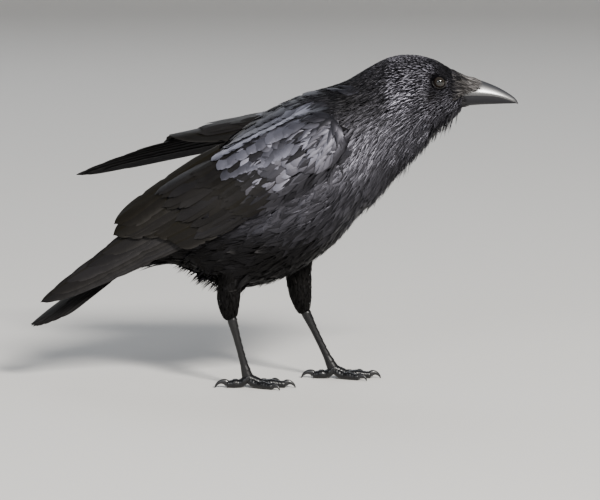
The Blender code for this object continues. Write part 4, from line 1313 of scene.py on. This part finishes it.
def tarsus_rings(leg, y):
    """The shank, with broad plates in front and a smooth, narrow back."""
    top = np.array((leg["ankle"][0], y, leg["ankle"][1] + 3.0))
    bottom = np.array((leg["foot"][0], y, leg["foot"][1] - 3.0))
    direction = unit(bottom - top)
    left = np.array((0.0, 1.0, 0.0))
    fore = unit(np.cross(direction, left))
    t = np.linspace(0, 1, 110)
    angle = np.linspace(0, 2 * pi, 36, endpoint=False)
    size = TARSUS_RADIUS * profile(TARSUS, t)
    front = np.clip(np.cos(angle), 0, 1) ** 0.7
    plates = saw(t * TARSUS_PLATES + 0.3)[:, None] * front * 0.42
    keel = 1 - 0.10 * np.clip(-np.cos(angle), 0, 1) ** 2
    grooves = -0.25 * np.exp(-(((np.abs(angle - pi) - 1.25) / 0.12) ** 2))
    radius = size[:, None] * keel + plates + grooves
    centre = top + (bottom - top) * t[:, None]
    forward, sideways = radius * np.cos(angle), 0.78 * radius * np.sin(angle)
    return centre[:, None] + fore * forward[..., None] + left * sideways[..., None]


def toe_axes(yaw, facing):
    """The directions along and across a toe that points so many degrees outward."""
    turn = radians(yaw * facing)
    return np.array((cos(turn), sin(turn), 0)), np.array((-sin(turn), cos(turn), 0))


def toe_rings(leg, y, facing, toe):
    """A toe with plates along its top and soft pads below, flat where it rests."""
    yaw, reach, size, scutes, _ = TOES[toe]
    ahead, across = toe_axes(yaw, facing)
    origin = np.array((leg["foot"][0], y, 0))
    t = np.linspace(0, 1, scutes * RINGS_PER_PLATE)
    angle = np.linspace(0, 2 * pi, 28, endpoint=False)
    height, width = size * profile(TOE_PROFILE, t, 1), size * profile(TOE_PROFILE, t, 2)
    upper = np.clip(np.sin(angle), 0, 1) ** 0.6
    lower = np.clip(-np.sin(angle), 0, 1) ** 0.6
    plates = saw(t * scutes)[:, None] * upper * 0.34
    pads = 0.28 * np.abs(np.sin(pi * t * 3.5))[:, None] * lower
    radius = width[:, None] + plates + pads - 0.1
    end = np.sqrt(np.clip(1 - np.clip((t - 0.93) / 0.07, 0, 1) ** 2, 0.16, 1))
    radius = radius * end[:, None]
    rings = origin + ahead * (reach * t)[:, None, None] + across * (radius * np.cos(angle))[..., None]
    rings = rings + UP * (height[:, None] + radius * np.sin(angle))[..., None]
    rings[..., 2] = np.maximum(rings[..., 2], 0.0)
    return rings


def claw_rings(leg, y, facing, toe):
    """A claw: up over the toe's end, then down to the floor."""
    yaw, reach, size, _, length = TOES[toe]
    ahead, across = toe_axes(yaw, facing)
    start = np.array((leg["foot"][0], y, 0)) + ahead * reach + UP * size * TOE_PROFILE[-1][1]
    radius = size * TOE_PROFILE[-1][2]
    steps = 26
    angle = np.linspace(0, 2 * pi, 16, endpoint=False)
    groove = 1 - 0.12 * np.clip(-np.sin(angle), 0, 1) ** 4
    centre, heading, rings = start - ahead * 1.4 + UP * 0.6, radians(CLAW_RISE), []
    for k in range(steps):
        t = k / (steps - 1)
        width = radius * (0.84 * (1 - t) ** 0.75 + 0.1)
        along, over = ahead * cos(heading) + UP * sin(heading), UP * cos(heading) - ahead * sin(heading)
        sideways = width * 0.72 * np.cos(angle) * groove
        rings.append(centre + across * sideways[:, None] + over * (width * np.sin(angle))[:, None])
        heading -= radians(CLAW_TURN / (steps - 1))
        centre = centre + along * length / (steps - 1)
    rings = np.array(rings)
    forward = (rings - start) @ ahead
    drop = 0.05 - rings[-1, :, 2].min()
    rings[..., 2] += drop * np.clip(forward / forward[-1].mean(), 0, 1)
    return rings


def build_legs(scales, claw):
    """Shank, toes and claws of both legs."""
    for side, leg in LEGS.items():
        facing = 1 if side == "left" else -1
        y = FOOT_SPREAD * facing
        shank = add_mesh("shank_" + side, *rings_mesh(tarsus_rings(leg, y)), scales, "leg_scales")
        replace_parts(shank, "tarsus_" + side)
        toes = [rings_mesh(toe_rings(leg, y, facing, toe)) for toe in TOES]
        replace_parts(add_mesh("toes_" + side, *merged(toes), scales, "leg_scales"), "foot_" + side)
        for toe in TOES:
            rings = claw_rings(leg, y, facing, toe)
            nail = add_mesh("nail_" + side + "_" + toe, *rings_mesh(rings), claw, "horn")
            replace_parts(nail, "claw_" + side + "_" + toe)


# Where each feather's root falls on the skin, laid flat.

SPINE = np.array([
    (215, 254), (160, 264), (125, 268), (104, 246), (84, 214), (50, 190), (10, 168), (-40, 158), (-90, 146),
    (-140, 112), (-170, 86),
], float)


def spine_place(points):
    """How far along the spine, and at what angle round it, each point lies."""
    best = np.full(len(points), 1e9)
    along, around = np.zeros(len(points)), np.zeros(len(points))
    flat = points[:, [0, 2]]
    total = 0.0
    for start, end in zip(SPINE[:-1], SPINE[1:]):
        run = end - start
        length = np.linalg.norm(run)
        t = np.clip((flat - start) @ run / length**2, 0, 1)
        gap = flat - start - t[:, None] * run
        distance = np.linalg.norm(gap, axis=1)
        closer = distance < best
        above = (gap[:, 1] * -run[0] + gap[:, 0] * run[1]) / length
        best[closer] = distance[closer]
        along[closer] = (total + t * length)[closer]
        around[closer] = np.arctan2(points[:, 1], above)[closer]
        total += length
    return np.stack([along, around * 30], -1)


def fitted(place):
    """Flat places, fitted to a square with sides of one."""
    low, high = place.min(0), place.max(0)
    return (place - low) / np.maximum(high - low, 1e-6)


def wing_place(points, side):
    """How far along and across a wing each point lies."""
    wrist, along, inward, _, reach = wing_frame(WINGS[side])
    offset = points - wrist
    return np.stack([offset @ along / reach, offset @ inward], -1)


# The studio.

# In metres, with the camera's rise in degrees.
FLOOR_REACH, COVE_RADIUS, WALL_HEIGHT = 6.0, 2.5, 4.5
FLOOR_SIDES = 64
LAMPS = [
    # place, size, power, colour
    ((2.1, -4.3, 3.3), 1.2, 830, (1.0, 0.97, 0.92)),
    ((-1.6, -3.6, 1.6), 1.6, 45, (0.90, 0.94, 1.0)),
    ((-1.0, 3.4, 3.4), 3.0, 60, (0.90, 0.94, 1.0)),
]
LAMP_AIM = (0, 0, 0.15)
LENS, SENSOR = 201.6, 36
CAMERA_RISE, CAMERA_AWAY = 7.2, 3.0
AIM_BEHIND_BILL, AIM_HEIGHT = 0.1937, 0.1202


def build_floor():
    """A plain pale floor, round, that turns up into a backdrop on every side."""
    wall = FLOOR_REACH + COVE_RADIUS
    line = [(FLOOR_REACH, 0.0)]
    for a in np.linspace(0, pi / 2, 14)[1:]:
        line.append((FLOOR_REACH + COVE_RADIUS * sin(a), COVE_RADIUS - COVE_RADIUS * cos(a)))
    line.append((wall, WALL_HEIGHT))
    turns = np.linspace(0, 2 * pi, FLOOR_SIDES, endpoint=False)
    bm = bmesh.new()
    middle = bm.verts.new((0, 0, 0))
    rings = [
        [bm.verts.new((reach * cos(a), reach * sin(a), high)) for a in turns] for reach, high in line
    ]
    for k in range(FLOOR_SIDES):
        after = (k + 1) % FLOOR_SIDES
        bm.faces.new((middle, rings[0][k], rings[0][after]))
        for inner, outer in zip(rings, rings[1:]):
            bm.faces.new((inner[k], outer[k], outer[after], inner[after]))
    mesh = bpy.data.meshes.new("floor")
    bm.to_mesh(mesh)
    bm.free()
    mesh.shade_smooth()
    mesh.materials.append(material("floor", (0.56, 0.55, 0.53), 0.75)[0])
    floor = bpy.data.objects.new("floor", mesh)
    bpy.context.scene.collection.objects.link(floor)


def build_lights():
    """A dim cool room, a strong warm lamp in front, and two weak cool ones."""
    world = bpy.data.worlds.new("studio")
    world.use_nodes = True
    world.node_tree.nodes["Background"].inputs["Color"].default_value = (0.84, 0.90, 1.0, 1)
    world.node_tree.nodes["Background"].inputs["Strength"].default_value = 0.30
    bpy.context.scene.world = world
    for number, (place, size, power, colour) in enumerate(LAMPS):
        data = bpy.data.lights.new("lamp_" + str(number + 1), "AREA")
        data.size, data.energy, data.color = size, power, colour
        lamp = bpy.data.objects.new(data.name, data)
        lamp.location = place
        lamp.rotation_euler = (Vector(LAMP_AIM) - Vector(place)).to_track_quat("-Z", "Y").to_euler()
        bpy.context.scene.collection.objects.link(lamp)


def build_camera():
    """A long lens, a little above level, that looks at the bird's right side."""
    data = bpy.data.cameras.new("camera")
    data.lens, data.sensor_width = LENS, SENSOR
    camera = bpy.data.objects.new("camera", data)
    rise = radians(CAMERA_RISE)
    back = Vector((0, -cos(rise), sin(rise)))
    aim = Vector((first_bounds[1][0] - AIM_BEHIND_BILL, SHIFT[1] * MM, AIM_HEIGHT))
    camera.location = aim + back * CAMERA_AWAY
    camera.rotation_euler = (-back).to_track_quat("-Z", "Y").to_euler()
    bpy.context.scene.collection.objects.link(camera)
    bpy.context.scene.camera = camera


# The whole bird.

WISP_SPACING = 0.56
WING_FRONT = 66  # how far along the wing its front's small feathers reach


def skin_marks(points, names):
    """The marks of the bare skin, with a pale rim to the lower lids."""
    marks = marks_at(points, names) * (0.4, 1, 1)
    rim = np.exp(-(((eye_polar(points) - LID_RADIUS) / 0.45) ** 2))
    by_eye = (np.abs(points[:, 1]) > 8) & (np.abs(points[:, 0] - EYE_CENTRE[0]) < 12) & (points[:, 2] > 255)
    marks[:, 2] += by_eye * rim * (points[:, 2] < EYE_CENTRE[2] + 1)
    return marks


def dress_body(mat, lie, skin):
    """The coat of head, neck, trunk and thighs, and the loose barbs and bristles over it."""
    def on_body(middle, normals, names):
        bare = (eye_polar(middle) < EYE_RADIUS) & (np.abs(middle[:, 1]) > 8)
        bare &= (middle[:, 0] > 134) & (middle[:, 2] > 255)
        return ~np.char.startswith(names, "wing") & ~bare & lie.open_sky(middle, normals)

    def loose(middle, normals, names):
        along, around = spine_place(middle).T
        smooth = (np.abs(around) < 36) & (along > 150)
        return on_body(middle, normals, names) & ~smooth & (along > 84) & (along < 400)

    def laid_out(roots):
        return fitted(spine_place(roots))

    body = Coat("coat_body")
    lay_coat(body, lie, scatter(*skin, on_body))
    body.build(mat, laid_out)
    wisps = Coat("coat_wisps")
    lay_coat(wisps, lie, scatter(*skin, loose, WISP_SPACING), wisps=True)
    lay_bristles(wisps, lie)
    lay_fringes(wisps, lie)
    wisps.build(mat, laid_out)


def dress_wing(side, mat, lie, skin):
    """Small feathers on the front of a wing, then its ordered rows and those that lie back over it."""
    def on_wing(middle, normals, names):
        u = wing_place(middle, side)[:, 0]
        return (names == "wing_" + side + "_coverts") & (u < WING_FRONT) & lie.open_sky(middle, normals)

    coat = Coat("coat_wing_" + side)
    lay_coat(coat, lie, scatter(*skin, on_wing))
    lay_rows(coat, lie, side, COVERT_ROWS)
    lay_rows(coat, lie, side, SCAPULAR_ROWS)
    lay_rows(coat, lie, side, SHOULDER_ROWS, "frayed")
    coat.build(mat, lambda roots: fitted(wing_place(roots, side)))


def main():
    group = plumage_group()
    body_mat = feather_material("plumage", group, {}, Specular_IOR_Level=0.06)
    skin_mat = feather_material(
        "skin", group, {"Gloss": (0.02, 0.02, 0.03, 1), "Roughness": 0.6}, Specular_IOR_Level=0.06,
    )
    flight_mat = feather_material("flight_feathers", group, {"Roughness": 0.40}, Specular_IOR_Level=0.06)
    horn, _, _ = material(
        "horn", (0.008, 0.008, 0.010), 0.33, Specular_IOR_Level=1.0, Coat_Weight=1.0, Coat_Roughness=0.22,
    )
    claw, _, _ = material("claw", (0.007, 0.007, 0.008), 0.38, Specular_IOR_Level=0.4, Coat_Weight=0.1)
    # Painted shade: the lower bill gets a darker, duller copy of the horn, standing for the shade on the
    # bill's lower half.
    shaded_horn, _, _ = material(
        "shaded_horn", (0.006, 0.006, 0.008), 0.42, Specular_IOR_Level=0.25, Coat_Weight=0.1,
    )
    scales, _, _ = material(
        "leg_scales", (0.0025, 0.0025, 0.003), 0.34, Specular_IOR_Level=0.35, Coat_Weight=0.08,
    )

    mesh, surface, owner = flesh_surface()
    skin = build_skin(mesh, surface, owner)
    points, faces, node_of = skin
    marks = skin_marks(points, np.array(FLESH)[node_of])
    hide = add_mesh("skin", points, faces, skin_mat, "plumage", marks=marks, barb=np.zeros((len(points), 2)))
    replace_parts(hide, *FLESH)

    build_bill(horn, shaded_horn)
    build_eyes()
    build_legs(scales, claw)
    build_wing_flights(flight_mat)
    build_tail(flight_mat)

    lie = Lie(mesh, surface)
    dress_body(body_mat, lie, skin)
    for side in WINGS:
        dress_wing(side, body_mat, lie, skin)
    build_floor()
    build_lights()
    build_camera()


main()
